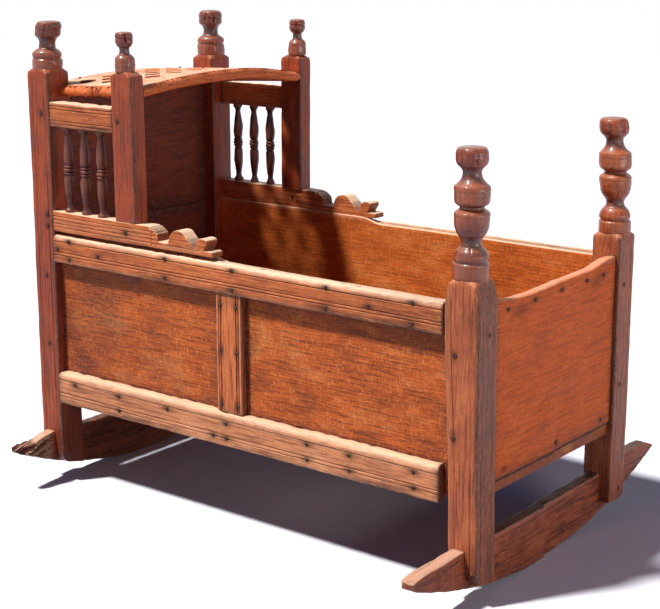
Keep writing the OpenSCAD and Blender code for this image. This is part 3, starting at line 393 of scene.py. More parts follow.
def scratchLine(bm, across, place, face, faceAt, inward, depth, half=1.0, where=None):
    # a V groove on one flat face: three slices, the middle one pushed in
    for offset in (-half, 0, half):
        slicePlane(bm, axes[across], axes[across] * (place + offset * mm))
    for v in bm.verts:
        if abs(v.co[across] - place) < 0.01 * mm and abs(v.co[face] - faceAt) < 0.01 * mm:
            share = where(v.co) if where else 1
            v.co[face] += inward * depth * share * mm


def smoothStep(low, high, value):
    t = min(1, max(0, (value - low) / (high - low)))
    return t * t * (3 - 2 * t)


def fadeOut(gap, reach):
    return min(1, max(0, 1 - gap / reach))


def alongStations(stations, place, smooth=True):
    # height at a place on the line through the stations, rounded or straight between them
    for (a, low), (b, high) in zip(stations, stations[1:]):
        if place <= b:
            share = smoothStep(a, b, place) if smooth else (place - a) / (b - a)
            return low + (high - low) * share
    return stations[-1][1]


def markLayer(bm, name):
    return bm.verts.layers.float.get(name) or bm.verts.layers.float.new(name)


def markWear(bm, low, high, reach=7, strength=0.3):
    # wear grows towards the arrises of a squared piece
    layer = markLayer(bm, "wear")
    for v in bm.verts:
        gaps = sorted(min(v.co[i] - low[i], high[i] - v.co[i]) for i in range(3))
        v[layer] = strength * fadeOut(gaps[1], reach * mm) ** 1.5
    return layer


def markStains(bm, spots, grain, radius, stretch=2.4, strength=1.0):
    # dark halos round pegs, nails and knots, drawn out along the grain
    layer, near = markLayer(bm, "stain"), 40 * mm
    for v in bm.verts:
        value = v[layer]
        for spot in spots:
            away = v.co - spot
            if abs(away.x) < near and abs(away.y) < near and abs(away.z) < near:
                away[grain] /= stretch
                halo = math.exp(-(away.length / (radius * mm)) ** 2)
                value = max(value, strength * halo)
        v[layer] = value


# bumps per metre of the whole frame's sway, a piece's dents and its chips, and the chips' depth
handWork = {"swaysPerM": 5.0, "sway": 0.9, "dentsPerM": 38, "chipsPerM": 70, "chipDepth": 3}


def handMade(bm, seed, dent=0.25, chip=1.0):
    # the whole cradle sways together; each piece then gets its own dents and chipped arrises
    layer = bm.verts.layers.float.get("wear")
    bm.normal_update()
    shift = Vector((seed * 3.7, seed * 1.9, seed * 5.3))
    for v in bm.verts:
        p = v.co.copy()
        move = noise.noise_vector(p * handWork["swaysPerM"]) * handWork["sway"] * mm
        move.z *= min(1, p.z / 0.1)
        if p.x > 0.3 and p.y < 0:  # the near foot post stands out at its foot
            move.x += 5 * mm * smoothStep(0.3, 0.39, p.x) * smoothStep(0.34, 0, p.z)
        move += v.normal * noise.noise(p * handWork["dentsPerM"] + shift) * dent * mm
        nick = max(0.0, noise.noise(p * handWork["chipsPerM"] + shift) + 0.15)
        move -= v.normal * v[layer] * nick * chip * handWork["chipDepth"] * mm
        v.co = p + move


def finishPiece(bm, finish, slotName, *nodes, name=None, sharp=38, extra=None, bleach=0.0):
    # the piece is named after the first node it replaces, unless a name is given
    words = nodes[0].split("_")
    name = name or words[0] + "".join(word.capitalize() for word in words[1:])
    bmesh.ops.recalc_face_normals(bm, faces=bm.faces)
    bm.normal_update()
    if bleach:
        wear = markLayer(bm, "wear")
        for v in bm.verts:  # what faces the sky is rubbed and bleached, and painted paler as a highlight
            v[wear] = max(v[wear], bleach * smoothStep(0.35, 0.8, v.normal.z))
    mesh = bpy.data.meshes.new(name)
    bm.to_mesh(mesh)
    bm.free()
    for polygon in mesh.polygons:
        polygon.use_smooth = True
    mesh.set_sharp_from_angle(angle=math.radians(sharp))
    for part in (finish, extra):
        if part:
            mesh.materials.append(finishes[part])
    piece = bpy.data.objects.new(name, mesh)
    scene.collection.objects.link(piece)
    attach(piece, "root")
    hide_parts(*nodes)


def outerFace(low, high, side):
    # where the outer face of a piece lies, and which way is inward
    return (low.y, 1) if side == "near" else (high.y, -1)


def outerSpots(node, side):
    # the middle of each head, on the outer face of that side
    return [Vector(((low.x + high.x) / 2, outerFace(low, high, side)[0], (low.z + high.z) / 2))
            for low, high in islandBoxes(node)]


nailPoints = {side: outerSpots("side_nails_" + side, side) for side in sides}
pegPoints = {side: outerSpots("post_pegs_" + side, side) for side in sides}

print("rails")
# the frame's lines: the posts' inner faces, and the outer and inner faces of its long sides
frameLines = {"inX": 401, "outY": 227, "inY": 178}
nailHalo = 4.6
railSizes = {
    "top_rail": {"nose": 8, "grooves": (13, 18, 36), "finish": "rubbedRailOak", "bleach": 0.95},
    "bottom_rail": {"nose": 9, "grooves": (12, 18, 42), "finish": "bareRailOak", "bleach": 0.6},
    "gallery_rail": {"nose": 3, "grooves": (5, 11, 29, 34.5), "finish": "rubbedRailOak",
                     "bleach": 0.95},
}
railCuts = {"depth": 1.7, "half": 1.4, "arris": 0.9, "shrunk": 6}
railSeeds = {"near": 3, "far": 17}


def mouldedRail(kind, side, seed, low, high):
    sizes = railSizes[kind]
    outer, inward = outerFace(low, high, side)
    bm = startBox(low, high)
    noseEdges = [e for e in bm.edges if all(
        abs(v.co.y - outer) < mm and abs(v.co.z - high.z) < mm for v in e.verts)]
    roundEdges(bm, noseEdges, sizes["nose"], 6)
    roundEdges(bm, sharpEdges(bm), railCuts["arris"])
    cutInto(bm, (4, 5, 5))
    for height in sizes["grooves"]:
        scratchLine(bm, 2, low.z + height * mm, 1, outer, inward, railCuts["depth"],
                    railCuts["half"])
    wear = markWear(bm, low, high, strength=0.25)
    markStains(bm, nailPoints[side], 0, nailHalo)
    grime = markLayer(bm, "grime")
    # painted shade at the ends where the rail meets the posts and along its bottom edge, grime and
    # painted shade in the grooves, painted shade towards the foot end of the top rail
    for v in bm.verts:
        endGap = min(v.co.x - low.x, high.x - v.co.x)
        grooveGap = min(abs(v.co.z - low.z - height * mm) for height in sizes["grooves"])
        noseGap = (high.z - v.co.z) / mm - sizes["nose"]
        onFace = abs(v.co.y - outer) < 2.5 * mm
        lowDown = smoothStep(14, 2, (v.co.z - low.z) / mm) * (0.4 + noise.noise(v.co * 16))
        footEndShade = 0.4 * smoothStep(0.16, 0.38, v.co.x) if kind == "top_rail" else 0
        v[grime] = max(1 if endGap < mm else 0.7 * fadeOut(endGap, 12 * mm),
                       0.7 if onFace and grooveGap < 0.6 * mm else 0, lowDown, footEndShade)
        # the nose is paler: wear and a painted highlight
        if onFace or noseGap < 0:
            v[wear] = max(v[wear], 0.5 * smoothStep(3, -4, noseGap))
    handMade(bm, seed, chip=1.6)
    finishPiece(bm, sizes["finish"], "rail_oak", kind + "_" + side, bleach=sizes["bleach"])


for side, seed in railSeeds.items():
    for number, kind in enumerate(("top_rail", "bottom_rail")):
        low, high = corners(kind + "_" + side)
        if side == "near":  # shrunk back from the foot post
            high.x -= railCuts["shrunk"] * mm
        mouldedRail(kind, side, seed + number, low, high)

galleryShape = {"back": -frameLines["inX"], "front": -253, "out": 226.5, "thick": 24}
for side, seed in railSeeds.items():
    low, high = corners("gallery_rail_" + side)
    out, inner = galleryShape["out"], galleryShape["out"] - galleryShape["thick"]
    low.x, high.x = galleryShape["back"] * mm, galleryShape["front"] * mm
    low.y, high.y = (-out * mm, -inner * mm) if side == "near" else (inner * mm, out * mm)
    mouldedRail("gallery_rail", side, seed + 5, low, high)

print("muntins")
muntinSizes = {"grooves": (4.5, 9), "depth": 1.7, "half": 1.2, "arris": 0.9}
for side, seed in railSeeds.items():
    low, high = corners("muntin_" + side)
    outer, inward = outerFace(low, high, side)
    bm = startBox(low, high)
    roundEdges(bm, sharpEdges(bm), muntinSizes["arris"])
    cutInto(bm, (5, 5, 4))
    for inset in muntinSizes["grooves"]:
        for place in (low.x + inset * mm, high.x - inset * mm):
            scratchLine(bm, 0, place, 1, outer, inward, muntinSizes["depth"], muntinSizes["half"])
    markWear(bm, low, high)
    markStains(bm, nailPoints[side], 2, nailHalo)
    grime = markLayer(bm, "grime")
    # painted shade on the sides and near the ends where the muntin meets the rails, grime and
    # painted shade in the grooves
    for v in bm.verts:
        behind = abs(v.co.y - outer) > 2 * mm
        grooveGap = min(min(v.co.x - low.x, high.x - v.co.x) - inset * mm
                        for inset in muntinSizes["grooves"])
        endGap = min(v.co.z - low.z, high.z - v.co.z)
        darkSideOrGroove = behind or abs(grooveGap) < 0.4 * mm
        v[grime] = 0.8 if darkSideOrGroove else 0.5 * fadeOut(endGap, 20 * mm)
    handMade(bm, seed + 8)
    finishPiece(bm, "verticalRailOak", "rail_oak", "muntin_" + side)

print("boards")
# the side boards: their top edge drops between two places; the rails and muntin frame two panels;
# the knot's place along and its height
sideBoards = {
    "near": {"seed": 31, "finish": "orangeVarnishedOak"},
    "far": {"seed": 37, "finish": "litInnerOak"},
    "arris": 1.6, "drop": 9, "dropFrom": -69, "dropTo": -27,
    "panel": {"bottom": 204, "top": 397, "muntin": (-35, 15)},
    "nailStain": 3.5, "knot": (-235, 355), "knotStain": 2.2,
}
for side in sides:
    low, high = corners("side_board_" + side)
    outer = outerFace(low, high, side)[0]
    bm = startBox(low, high)
    roundEdges(bm, sharpEdges(bm), sideBoards["arris"], 3)
    cutInto(bm, (4, 0, 4))
    for v in bm.verts:
        drop = sideBoards["drop"] * mm * smoothStep(sideBoards["dropFrom"] * mm,
                                                    sideBoards["dropTo"] * mm, v.co.x)
        v.co.z -= drop * smoothStep(0.39, high.z - 4 * mm, v.co.z)
    markWear(bm, low, high, 9)
    markStains(bm, [Vector((p.x, outer, p.z)) for p in nailPoints[side]], 0,
               sideBoards["nailStain"])
    knotX, knotZ = sideBoards["knot"]
    markStains(bm, [Vector((knotX * mm, outer, knotZ * mm))], 0, sideBoards["knotStain"], 4)
    grime = markLayer(bm, "grime")
    panel = sideBoards["panel"]
    # the inner face darkens towards the bottom; the outer face takes painted shade along the
    # panels' borders, strongest under the top rail, and painted shade over the left panel
    for v in bm.verts:
        if abs(v.co.y - outer) > 2 * mm:
            v[grime] = 0.35 * fadeOut(v.co.z - low.z, 60 * mm)
            continue
        x, z = v.co.x / mm, v.co.z / mm
        gap = min(frameLines["inX"] - abs(x), z - panel["bottom"], (panel["top"] - z) * 0.8,
                  *[abs(x - edge) for edge in panel["muntin"]])
        patchy = 0.6 + noise.noise(v.co * 26)
        leftShade = 0.55 * smoothStep(-90, -260, x) * (0.7 + 1.6 * noise.noise(v.co * 12))
        v[grime] = max(fadeOut(gap - 3, 5), 0.8 * fadeOut(gap, 34) * patchy, leftShade)
    handMade(bm, sideBoards[side]["seed"], dent=0.6)
    finishPiece(bm, sideBoards[side]["finish"], "board_oak", "side_board_" + side, bleach=0.9)

# the foot board stands a little nearer the posts' faces than in the CAD; its worn top edge as
# place across and height; dark spots by the nails as place across and height
footBoard = {
    "out": 5, "topRound": 5.5, "arris": 2.0, "nailStain": 3.4,
    "top": [(-178, 446.5), (-166, 444.7), (-145, 442.1), (-126, 439.8), (-104, 438.7),
            (-76, 438.1), (-48, 438.8), (-19, 440.1), (10, 441), (70, 441.7), (101, 442.2),
            (118, 444.2), (132, 447), (152, 450), (178, 449.6)],
    "spots": ((128, 425), (112, 419), (-110, 418)), "spotSize": 9,
    "shadedJointBand": 2.6, "shadedEdgeFrom": 174.5,
}
footBoardOut = Vector((footBoard["out"] * mm, 0, 0))
low, high = (corner + footBoardOut for corner in corners("foot_board"))
bm = startBox(low, high)
topEdges = [e for e in sharpEdges(bm) if min(v.co.z for v in e.verts) > high.z - mm
            and abs(e.verts[0].co.y - e.verts[1].co.y) > 0.1]
roundEdges(bm, topEdges, footBoard["topRound"], 5)
roundEdges(bm, sharpEdges(bm), footBoard["arris"])
cutInto(bm, (0, 5, 5))
for v in bm.verts:
    drop = high.z - alongStations(footBoard["top"], v.co.y / mm) * mm
    drop += 2.0 * mm * smoothStep(high.x, low.x, v.co.x) + 0.8 * mm * noise.noise(v.co * 30)
    v.co.z -= drop * smoothStep(0.36, high.z - 6 * mm, v.co.z)
markWear(bm, low, high, 9)
footNails = [Vector((high.x, (a.y + b.y) / 2, (a.z + b.z) / 2))
             for a, b in islandBoxes("foot_board_nails")]
markStains(bm, footNails, 1, footBoard["nailStain"])
spots = [Vector((high.x, y * mm, z * mm)) for y, z in footBoard["spots"]]
markStains(bm, spots, 1, footBoard["spotSize"], strength=0.5)
grime, stain = markLayer(bm, "grime"), markLayer(bm, "stain")
# painted shade in the corners by the posts and along the bottom; a dark band along the bottom and
# the far end is painted shade of the joints there
for v in bm.verts:
    gap = min((frameLines["inY"] * mm - abs(v.co.y)) * 1.4, v.co.z - low.z)
    v[grime] = fadeOut(gap, 26 * mm) ** 1.5
    if v.co.z < low.z + footBoard["shadedJointBand"] * mm or v.co.y > footBoard["shadedEdgeFrom"] * mm:
        v[stain] = 1
handMade(bm, 41, dent=0.6)
finishPiece(bm, "footBoardOak", "board_oak", "foot_board", bleach=0.35)

# the roof's outline and arcs; it falls towards the head and its far edge has sunk
roofShape = {
    "front": -207, "back": -440, "postIn": -frameLines["inX"], "postSide": 178.3, "half": 198,
    "crown": 715, "thick": 19, "rise": 14, "hollow": 12, "fall": 3.0, "edge": 9, "settled": 5,
}


def roofHeights(x, y):
    # heights of the roof's under side and of its top
    fall = (x - roofShape["front"]) * math.tan(math.radians(roofShape["fall"]))
    fall -= roofShape["settled"] * smoothStep(60, 190, y)
    heights = []
    for rise, below in ((roofShape["hollow"], roofShape["thick"]), (roofShape["rise"], 0)):
        r = (roofShape["half"] ** 2 + rise ** 2) / (2 * rise)
        heights.append(roofShape["crown"] - below + fall - (r - math.sqrt(r * r - y * y)))
    return heights


headBoard = {"arris": 1.5, "gap": 0.4, "dirt": 30,
             "seeds": {"head_board_lower": 43, "head_board_upper": 47}}
for node, seed in headBoard["seeds"].items():
    low, high = corners(node)
    bm = startBox(low, high)
    roundEdges(bm, sharpEdges(bm), headBoard["arris"])
    cutInto(bm, (0, 8, 8))
    if node == "head_board_upper":  # its top follows the roof
        for v in bm.verts:
            under = (roofHeights(v.co.x / mm, v.co.y / mm)[0] - headBoard["gap"]) * mm
            share = (v.co.z - low.z) / (high.z - low.z)
            v.co.z = low.z + share * (under - low.z)
    markWear(bm, low, high, 6)
    grime = markLayer(bm, "grime")
    # darker towards the edges where it meets the posts, the floor and the roof: grime and painted
    # shade in the corners
    for v in bm.verts:
        gap = min(frameLines["inY"] * mm - abs(v.co.y), v.co.z - low.z, high.z - v.co.z)
        v[grime] = fadeOut(gap, headBoard["dirt"] * mm)
    handMade(bm, seed, dent=0.5)
    finishPiece(bm, "shadedHeadOak", "board_oak", node)

print("roof")
# pierced diamonds: side of a hole, bar between holes, middle of the first row, how far they reach
# to the sides, groove along the bars, rim; slices by a hole's middle, its edges and a bar's middle
lattice = {"hole": 24, "bar": 12, "first": -280, "rows": 5, "reachY": 155, "groove": 1.6,
           "rim": 1.8, "slices": (-12, -4, 4, 12, 18)}
latticePitch = lattice["hole"] + lattice["bar"]
# hacks in the near edge: places, width, depth, and how they slant
gouges = {"places": (-333, -326, -318, -310), "half": 2.6, "depth": 3.4, "slant": 0.3}


def holeGap(x, y):
    # how far a place lies from the nearest diamond's middle, and whether that one is pierced
    u, w = ((x - lattice["first"]) + way * y for way in (1, -1))
    step = latticePitch * math.sqrt(2)
    a, b = round(u / step), round(w / step)
    gap = max(abs(u - a * step), abs(w - b * step)) / math.sqrt(2)
    return gap, 0 <= -a - b < lattice["rows"] and abs(a - b) * step / 2 < lattice["reachY"]


bm = bmesh.new()
outline = [(roofShape["front"], roofShape["half"]), (roofShape["postIn"], roofShape["half"]),
           (roofShape["postIn"], roofShape["postSide"]), (roofShape["back"], roofShape["postSide"])]
outline += [(x, -y) for x, y in reversed(outline)]
bm.faces.new([bm.verts.new((x * mm, y * mm, 0)) for x, y in outline])
for way in (1, -1):
    normal = Vector((1, way, 0)).normalized()
    for count in range(-12, 13):
        for offset in lattice["slices"]:
            at = Vector((lattice["first"], 0, 0)) * mm
            slicePlane(bm, normal, at + normal * (count * latticePitch + offset) * mm)
holeFaces = []
for face in bm.faces:
    middle = face.calc_center_median() / mm
    gap, pierced = holeGap(middle.x, middle.y)
    if gap < lattice["hole"] / 2 and pierced:
        holeFaces.append(face)
bmesh.ops.delete(bm, geom=holeFaces, context="FACES")
thicken(bm, (0, 0, roofShape["thick"] * mm))
rimEdges, sideEdges = [], []
for edge in sharpEdges(bm):
    if abs(edge.verts[0].co.z - edge.verts[1].co.z) > mm:
        continue
    middle = (edge.verts[0].co + edge.verts[1].co) / 2 / mm
    if max(abs(middle.y) - roofShape["half"], middle.x - roofShape["front"]) > -1:
        sideEdges.append(edge)
    elif holeGap(middle.x, middle.y)[0] < lattice["hole"] / 2 + 1:
        rimEdges.append(edge)
roundEdges(bm, rimEdges, lattice["rim"])
roundEdges(bm, [e for e in sideEdges if e.is_valid], roofShape["edge"], 6)
nearEdge = 12 - roofShape["half"]
for x in range(-338, -303, 3):  # finer cuts where the edge is gouged
    local = [f for f in bm.faces if f.calc_center_median().y < nearEdge * mm]
    parts = list(dict.fromkeys(part for f in local for part in (*f.verts, *f.edges)))
    slicePlane(bm, axes[0], (x * mm, 0, 0), parts + local)
wear, grime = markLayer(bm, "wear"), markLayer(bm, "grime")
for v in bm.verts:
    x, y, share = v.co.x / mm, v.co.y / mm, v.co.z / (roofShape["thick"] * mm)
    under, top = roofHeights(x, y)
    height = under + share * (top - under)
    gap, pierced = holeGap(x, y)
    edgeGap = min(roofShape["front"] - x, roofShape["half"] - abs(y))
    # grime and painted shade in the grooves along the bars, painted shade on the holes' walls and
    # in the gouges
    if share > 0.95 and gap > latticePitch / 2 - 1 and edgeGap > 22:
        height -= lattice["groove"]
        v[grime] = 0.3
    if gap < lattice["hole"] / 2 + 1 and share < 0.97 and pierced:
        v[grime] = 1.0
    if y < nearEdge:
        slant = (y + roofShape["half"]) * gouges["slant"]
        cut = fadeOut(min(abs(x - place - slant) for place in gouges["places"]), gouges["half"])
        v.co.y += cut * gouges["depth"] * mm * smoothStep(-188, -196, y)
        height -= cut * gouges["depth"] * share
        v[grime] = max(v[grime], cut)
    v.co.z = height * mm
handMade(bm, 53, dent=0.5, chip=1.4)
bmesh.ops.triangulate(bm, faces=[f for f in bm.faces if len(f.verts) > 4])
bm.normal_update()
for v in bm.verts:  # the top is bleached in patches and painted paler as a highlight, its round nose is rubbed to orange
    patchy = 0.6 + 0.6 * noise.noise(v.co * 17)
    v[wear] = max(v[wear], patchy * smoothStep(0.86, 0.98, v.normal.z))
finishPiece(bm, "litRoofOak", "roof_oak", "roof_board", sharp=50)

print("posts")


def arcPoints(p, q, sag, steps):
    # points from p to q on an arc that stands out by sag to the right of the way
    way = (q - p).normalized()
    out = Vector((way.y, -way.x)) * math.copysign(1, sag)
    chord, rise = (q - p).length, abs(sag)
    radius = (chord * chord / 4 + rise * rise) / (2 * rise)
    centre = (p + q) / 2 - out * (radius - rise)
    start = math.atan2(p.y - centre.y, p.x - centre.x)
    turn = math.atan2(q.y - centre.y, q.x - centre.x) - start
    turn = (turn + math.pi) % (2 * math.pi) - math.pi
    angles = [start + turn * i / steps for i in range(1, steps + 1)]
    return [centre + Vector((math.cos(angle), math.sin(angle))) * radius for angle in angles]


def turnedProfile(stations, steps=7):
    points = [Vector(stations[0][:2])]
    for radius, height, bulge in stations[1:]:
        target = Vector((radius, height))
        points += arcPoints(points[-1], target, bulge, steps) if bulge else [target]
    return points


def spinProfile(bm, profile, foot, steps):
    # turns a line of radii and heights above the foot about the upright line through it
    ring = [bm.verts.new((foot.x + radius, foot.y, foot.z + height))
            for radius, height in profile]
    edges = [bm.edges.new(pair) for pair in zip(ring, ring[1:])]
    bmesh.ops.spin(bm, geom=ring + edges, cent=foot, axis=(0, 0, 1), angle=2 * math.pi,
                   steps=steps, use_merge=True, use_duplicate=False)


# radius, height above the shoulder, bulge of the stretch that ends there
finialShapes = {
    "foot": [(24.6, 0, 0), (24.8, 21, 0.3), (24.4, 24, 0.2), (22.8, 25.6, 0), (22.8, 27, 0),
             (23.8, 29, 0.2), (22.9, 38, 0.9), (16.5, 46.5, 0.8), (14.4, 51, -0.4),
             (14.6, 57, -0.4), (19.4, 64, -0.3), (24, 79, 1.2), (24.8, 90, 0.3), (23.6, 96, 0.8),
             (17.6, 100.4, 0.2), (17.6, 103.4, -0.3), (23.6, 107.6, 0.4), (24.9, 113, 0.4),
             (24.9, 124, 0.1), (24.2, 132, 0.6), (16.6, 140, -0.4), (13.8, 147, -0.6),
             (14, 153.5, -0.5), (18.6, 159, -0.3), (22.4, 165.5, 0.7), (22.6, 174, 0.4),
             (21, 182, 0.7), (17.5, 185, 0.6), (0, 186, 0.4)],
    "head": [(24.6, 0, 0), (24.6, 17.5, 0.3), (23.2, 19, 0), (23.2, 21, 0), (24, 22.5, 0.2),
             (23, 30, 0.8), (15.6, 35.5, 0.6), (13.8, 41, -0.6), (13.8, 48, -0.4),
             (19.2, 55.5, -0.8), (21.2, 61, 0.9), (21.4, 65.2, 0.1), (20.6, 66.4, 0),
             (21.3, 67.6, 0.1), (20.4, 76, 0.9), (15.5, 80.5, 1), (0, 81.5, 0.5)],
    "hood": [(15.6, 0, 0), (15.4, 17, 0.4), (13.8, 24, 1), (9.2, 28, 0.4), (8.1, 33, -0.4),
             (8.6, 38.5, -0.4), (13, 44, 0.7), (14.2, 48.5, 0.5), (14.3, 52, 0), (13.6, 53, 0),
             (14.3, 54, 0), (13.6, 59.5, 0.5), (11, 62.5, 0.6), (0, 63.5, 0.3)],
}
finialSteps = 72
postKinds = {"foot": {"shoulder": 476, "finish": "reddishPostOak"},
             "head": {"shoulder": 717, "finish": "deepOrangeOak"},
             "hood": {"shoulder": 725, "finish": "deepOrangeOak"}}
# lift raises a shoulder; shift moves the finial in x and lean is how much further its tip has
# moved; foot is where its lower end begins; smoky paints shade on the face towards the
# foot end; runs are how its left and right faces wander, as shift and height; cracks are angle,
# bottom and top height, depth and width
plainPost = {"lift": 0, "shift": 0, "lean": (0, 0), "foot": 0, "smoky": 0,
             "finial": "glossyTurnedOak", "runs": ([(0, 0), (0, 1000)], [(0, 0), (0, 1000)])}
postSizes = {
    "foot_post_near": {"seed": 61, "lift": 3, "shift": -6, "lean": (-2.5, 0), "smoky": 0.75,
                       "runs": ([(0, 200), (-8, 440), (-7, 455), (-2, 480)],
                                [(0, 440), (-7, 480)]),
                       "cracks": [(-62, 36, 96, 1.5, 1.2), (-20, 106, 130, 1.5, 1.2),
                                  (-95, 156, 186, 2, 1.3), (-40, 158, 188, 2.4, 1.4)]},
    "foot_post_far": {"seed": 67, "lift": 7, "lean": (-9, 0), "foot": 39, "smoky": 0.45,
                      "finial": "litTurnedOak",
                      "cracks": [(-55, 60, 96, 1.2, 1.2), (-85, 106, 132, 1.5, 1.2),
                                 (-15, 158, 190, 7, 6)]},
    "head_post_near": {"seed": 71, "lift": 3, "lean": (9, 0),
                       "cracks": [(-118, 34, 82, 6, 2.6), (-150, 30, 82, 7, 4),
                                  (-60, 48, 80, 2.5, 1.5)]},
    "head_post_far": {"seed": 73, "cracks": [(-30, 50, 82, 3, 1.6), (-75, 56, 82, 2.5, 1.6)]},
    "hood_post_near": {"seed": 79, "lift": 1, "shift": -2.5, "lean": (-1, 0),
                       "cracks": [(-35, 40, 66, 3.5, 2), (-100, 44, 66, 3, 1.6)]},
    "hood_post_far": {"seed": 83, "shift": 4, "cracks": [(-60, 44, 66, 2.5, 1.6)]},
}
# the square parts: side, scratched lines, how far the shoulder is cut down, the foot's corner,
# where the hood posts begin
postSquare = {"side": 49, "arris": 1.8, "lineInset": 11, "lineDepth": 1.5, "shoulderDrop": 13,
              "footRound": 14, "hoodLow": 484, "pegStain": 5.5, "darkFootReach": 90}
# the rocker's underside: its arc, the flat worn in its middle, and the feet's lift above it
rockerArc = {"radius": 845, "flat": 84, "lift": 8}


def arcMiddle(radius):
    # how far above the floor the middle of a rocker's arc lies
    return math.sqrt(radius ** 2 - rockerArc["flat"] ** 2 / 4)


def footHeight(y, lowest):
    # the foot follows the rocker, with its outer corner rounded
    radius, turn = rockerArc["radius"] - rockerArc["lift"], postSquare["footRound"]
    arc = max(lowest, arcMiddle(rockerArc["radius"]) - math.sqrt(radius ** 2 - y * y))
    over = abs(y) - (frameLines["outY"] - turn)
    if over > 0:
        arc += turn - math.sqrt(max(0, turn ** 2 - min(over, turn) ** 2))
    return arc


def addFinial(bm, kind, centre, sizes):
    lift = sizes["lift"]
    profile = [Vector((p.x, max(0, p.y - lift))) * mm for p in turnedProfile(finialShapes[kind])]
    wear, grime = markLayer(bm, "wear"), markLayer(bm, "grime")
    spinProfile(bm, profile, centre, finialSteps)
    turned = {v for f in bm.faces if f.calc_center_median().z > centre.z
              and min(u.co.z for u in f.verts) > centre.z - 0.1 * mm for v in f.verts}
    bmesh.ops.remove_doubles(bm, verts=list(turned), dist=0.02 * mm)
    widest = max(p.x for p in profile)
    for v in bm.verts:
        away = Vector((v.co.x - centre.x, v.co.y - centre.y))
        if away.length > widest + mm or v.co.z <= centre.z + 0.05 * mm:
            continue
        height = (v.co.z - centre.z) / mm + lift
        angle = math.degrees(math.atan2(away.y, away.x))
        v[wear] = 0.3 * smoothStep(0.9, 1.0, away.length / widest)
        # darker in the necks and grooves: grime and painted shade in the recesses
        v[grime] = 0.7 * smoothStep(0.85, 0.6, away.length / widest)
        for at, bottom, top, depth, width in sizes["cracks"]:
            wander = at + 7 * noise.noise(Vector((height * 0.06, sizes["seed"], at)))
            gap = abs((angle - wander + 180) % 360 - 180) * math.radians(1) * away.length / mm
            if bottom < height < top and gap < width * 2:
                along = min(1, (height - bottom) / 8, (top - height) / 8)
                cut = depth * along * math.exp(-(gap / width) ** 2)
                scale = max(0.2, 1 - cut * mm / max(away.length, mm))
                v.co.x = centre.x + away.x * scale
                v.co.y = centre.y + away.y * scale
        bent = (height / finialShapes[kind][-1][1]) ** 2.5 * mm
        v.co.x += sizes["lean"][0] * bent
        v.co.y += sizes["lean"][1] * bent


def squarePost(node, sizes):
    kind = node.split("_")[0]
    low, high = corners(node)
    side = "near" if low.y < 0 else "far"
    shoulder = (postKinds[kind]["shoulder"] + sizes["lift"]) * mm
    if kind == "hood":
        low.z = postSquare["hoodLow"] * mm
    else:
        inX, outY, wide = frameLines["inX"] * mm, frameLines["outY"] * mm, postSquare["side"] * mm
        low.x, high.x = (inX, inX + wide) if low.x > 0 else (-inX - wide, -inX)
        low.y, high.y = (-outY, wide - outY) if side == "near" else (outY - wide, outY)
    top = Vector((high.x, high.y, shoulder))
    middle = Vector(((low.x + high.x) / 2, (low.y + high.y) / 2, shoulder))
    bm = startBox(low, top)
    upright = [e for e in sharpEdges(bm) if abs(e.verts[0].co.z - e.verts[1].co.z) > 0.1]
    roundEdges(bm, upright, postSquare["arris"], 3)
    cutInto(bm, (6, 6, 0))
    cutInto(bm, (0, 0, 6))

    def lineShare(co):
        # the lines stop below the shoulder and are worn away in places
        ended = min(1, max(0, (shoulder - co.z - 16 * mm) / (20 * mm)))
        return ended * (0.65 + 0.6 * noise.noise(co * 14))

    if kind != "hood":
        inset = postSquare["lineInset"] * mm
        outer, inward = outerFace(low, high, side)
        for place in (low.x + inset, high.x - inset):
            scratchLine(bm, 0, place, 1, outer, inward, postSquare["lineDepth"], where=lineShare)
        outer, inward = (low.x, 1) if low.x < 0 else (high.x, -1)
        for place in (low.y + inset, high.y - inset):
            scratchLine(bm, 1, place, 0, outer, inward, postSquare["lineDepth"], where=lineShare)
    half = min(high.x - low.x, high.y - low.y) / 2
    corner = math.hypot(high.x - low.x, high.y - low.y) / 2
    drop = postSquare["shoulderDrop"] * mm
    for v in bm.verts:
        if v.co.z > shoulder - drop:  # the square is cut down to the round of the finial
            t = (v.co.z - shoulder + drop) / drop
            limit = half + (corner - half) * math.sqrt(max(0, 1 - t * t))
            away = Vector((v.co.x - middle.x, v.co.y - middle.y))
            if away.length > limit:
                away *= limit / away.length
                v.co.x, v.co.y = middle.x + away.x, middle.y + away.y
        if kind != "hood" and v.co.z < 0.07:
            v.co.z = max(v.co.z, footHeight(v.co.y / mm, sizes["foot"]) * mm)
        run = sizes["runs"][1 if v.co.x > middle.x else 0]
        v.co.x += alongStations([(height, place) for place, height in run], v.co.z / mm) * mm
    markWear(bm, low, top, 6, strength=0.15)
    markStains(bm, pegPoints[side], 2, postSquare["pegStain"], stretch=1.6, strength=0.8)
    grime = markLayer(bm, "grime")
    bm.normal_update()
    for v in bm.verts:
        # darker towards the foot, painted shade on the faces towards the foot end, and a dark line
        # down the arris between the near face and the face towards the foot end
        cornerGap = abs(v.co.x - high.x) + abs(v.co.y - low.y)
        lowDown = 0.7 * fadeOut(v.co.z - low.z, postSquare["darkFootReach"] * mm)
        v[grime] = max(lowDown if kind != "hood" else 0,
                       sizes["smoky"] if v.normal.x > 0.8 else 0,
                       smoothStep(6, 1.5, cornerGap / mm) * min(1, 1.1 + noise.noise(v.co * 12)))
    squareFaces = set(bm.faces)
    middle.x += sizes["shift"] * mm
    addFinial(bm, kind, middle, sizes)
    for face in bm.faces:
        face.material_index = 0 if face in squareFaces else 1
    handMade(bm, sizes["seed"], dent=0.5, chip=1.5)
    finishPiece(bm, postKinds[kind]["finish"], "post_oak", node, sharp=42, bleach=0.35,
                extra=sizes["finial"])


for node, changes in postSizes.items():
    squarePost(node, {**plainPost, **changes})

print("spindles")
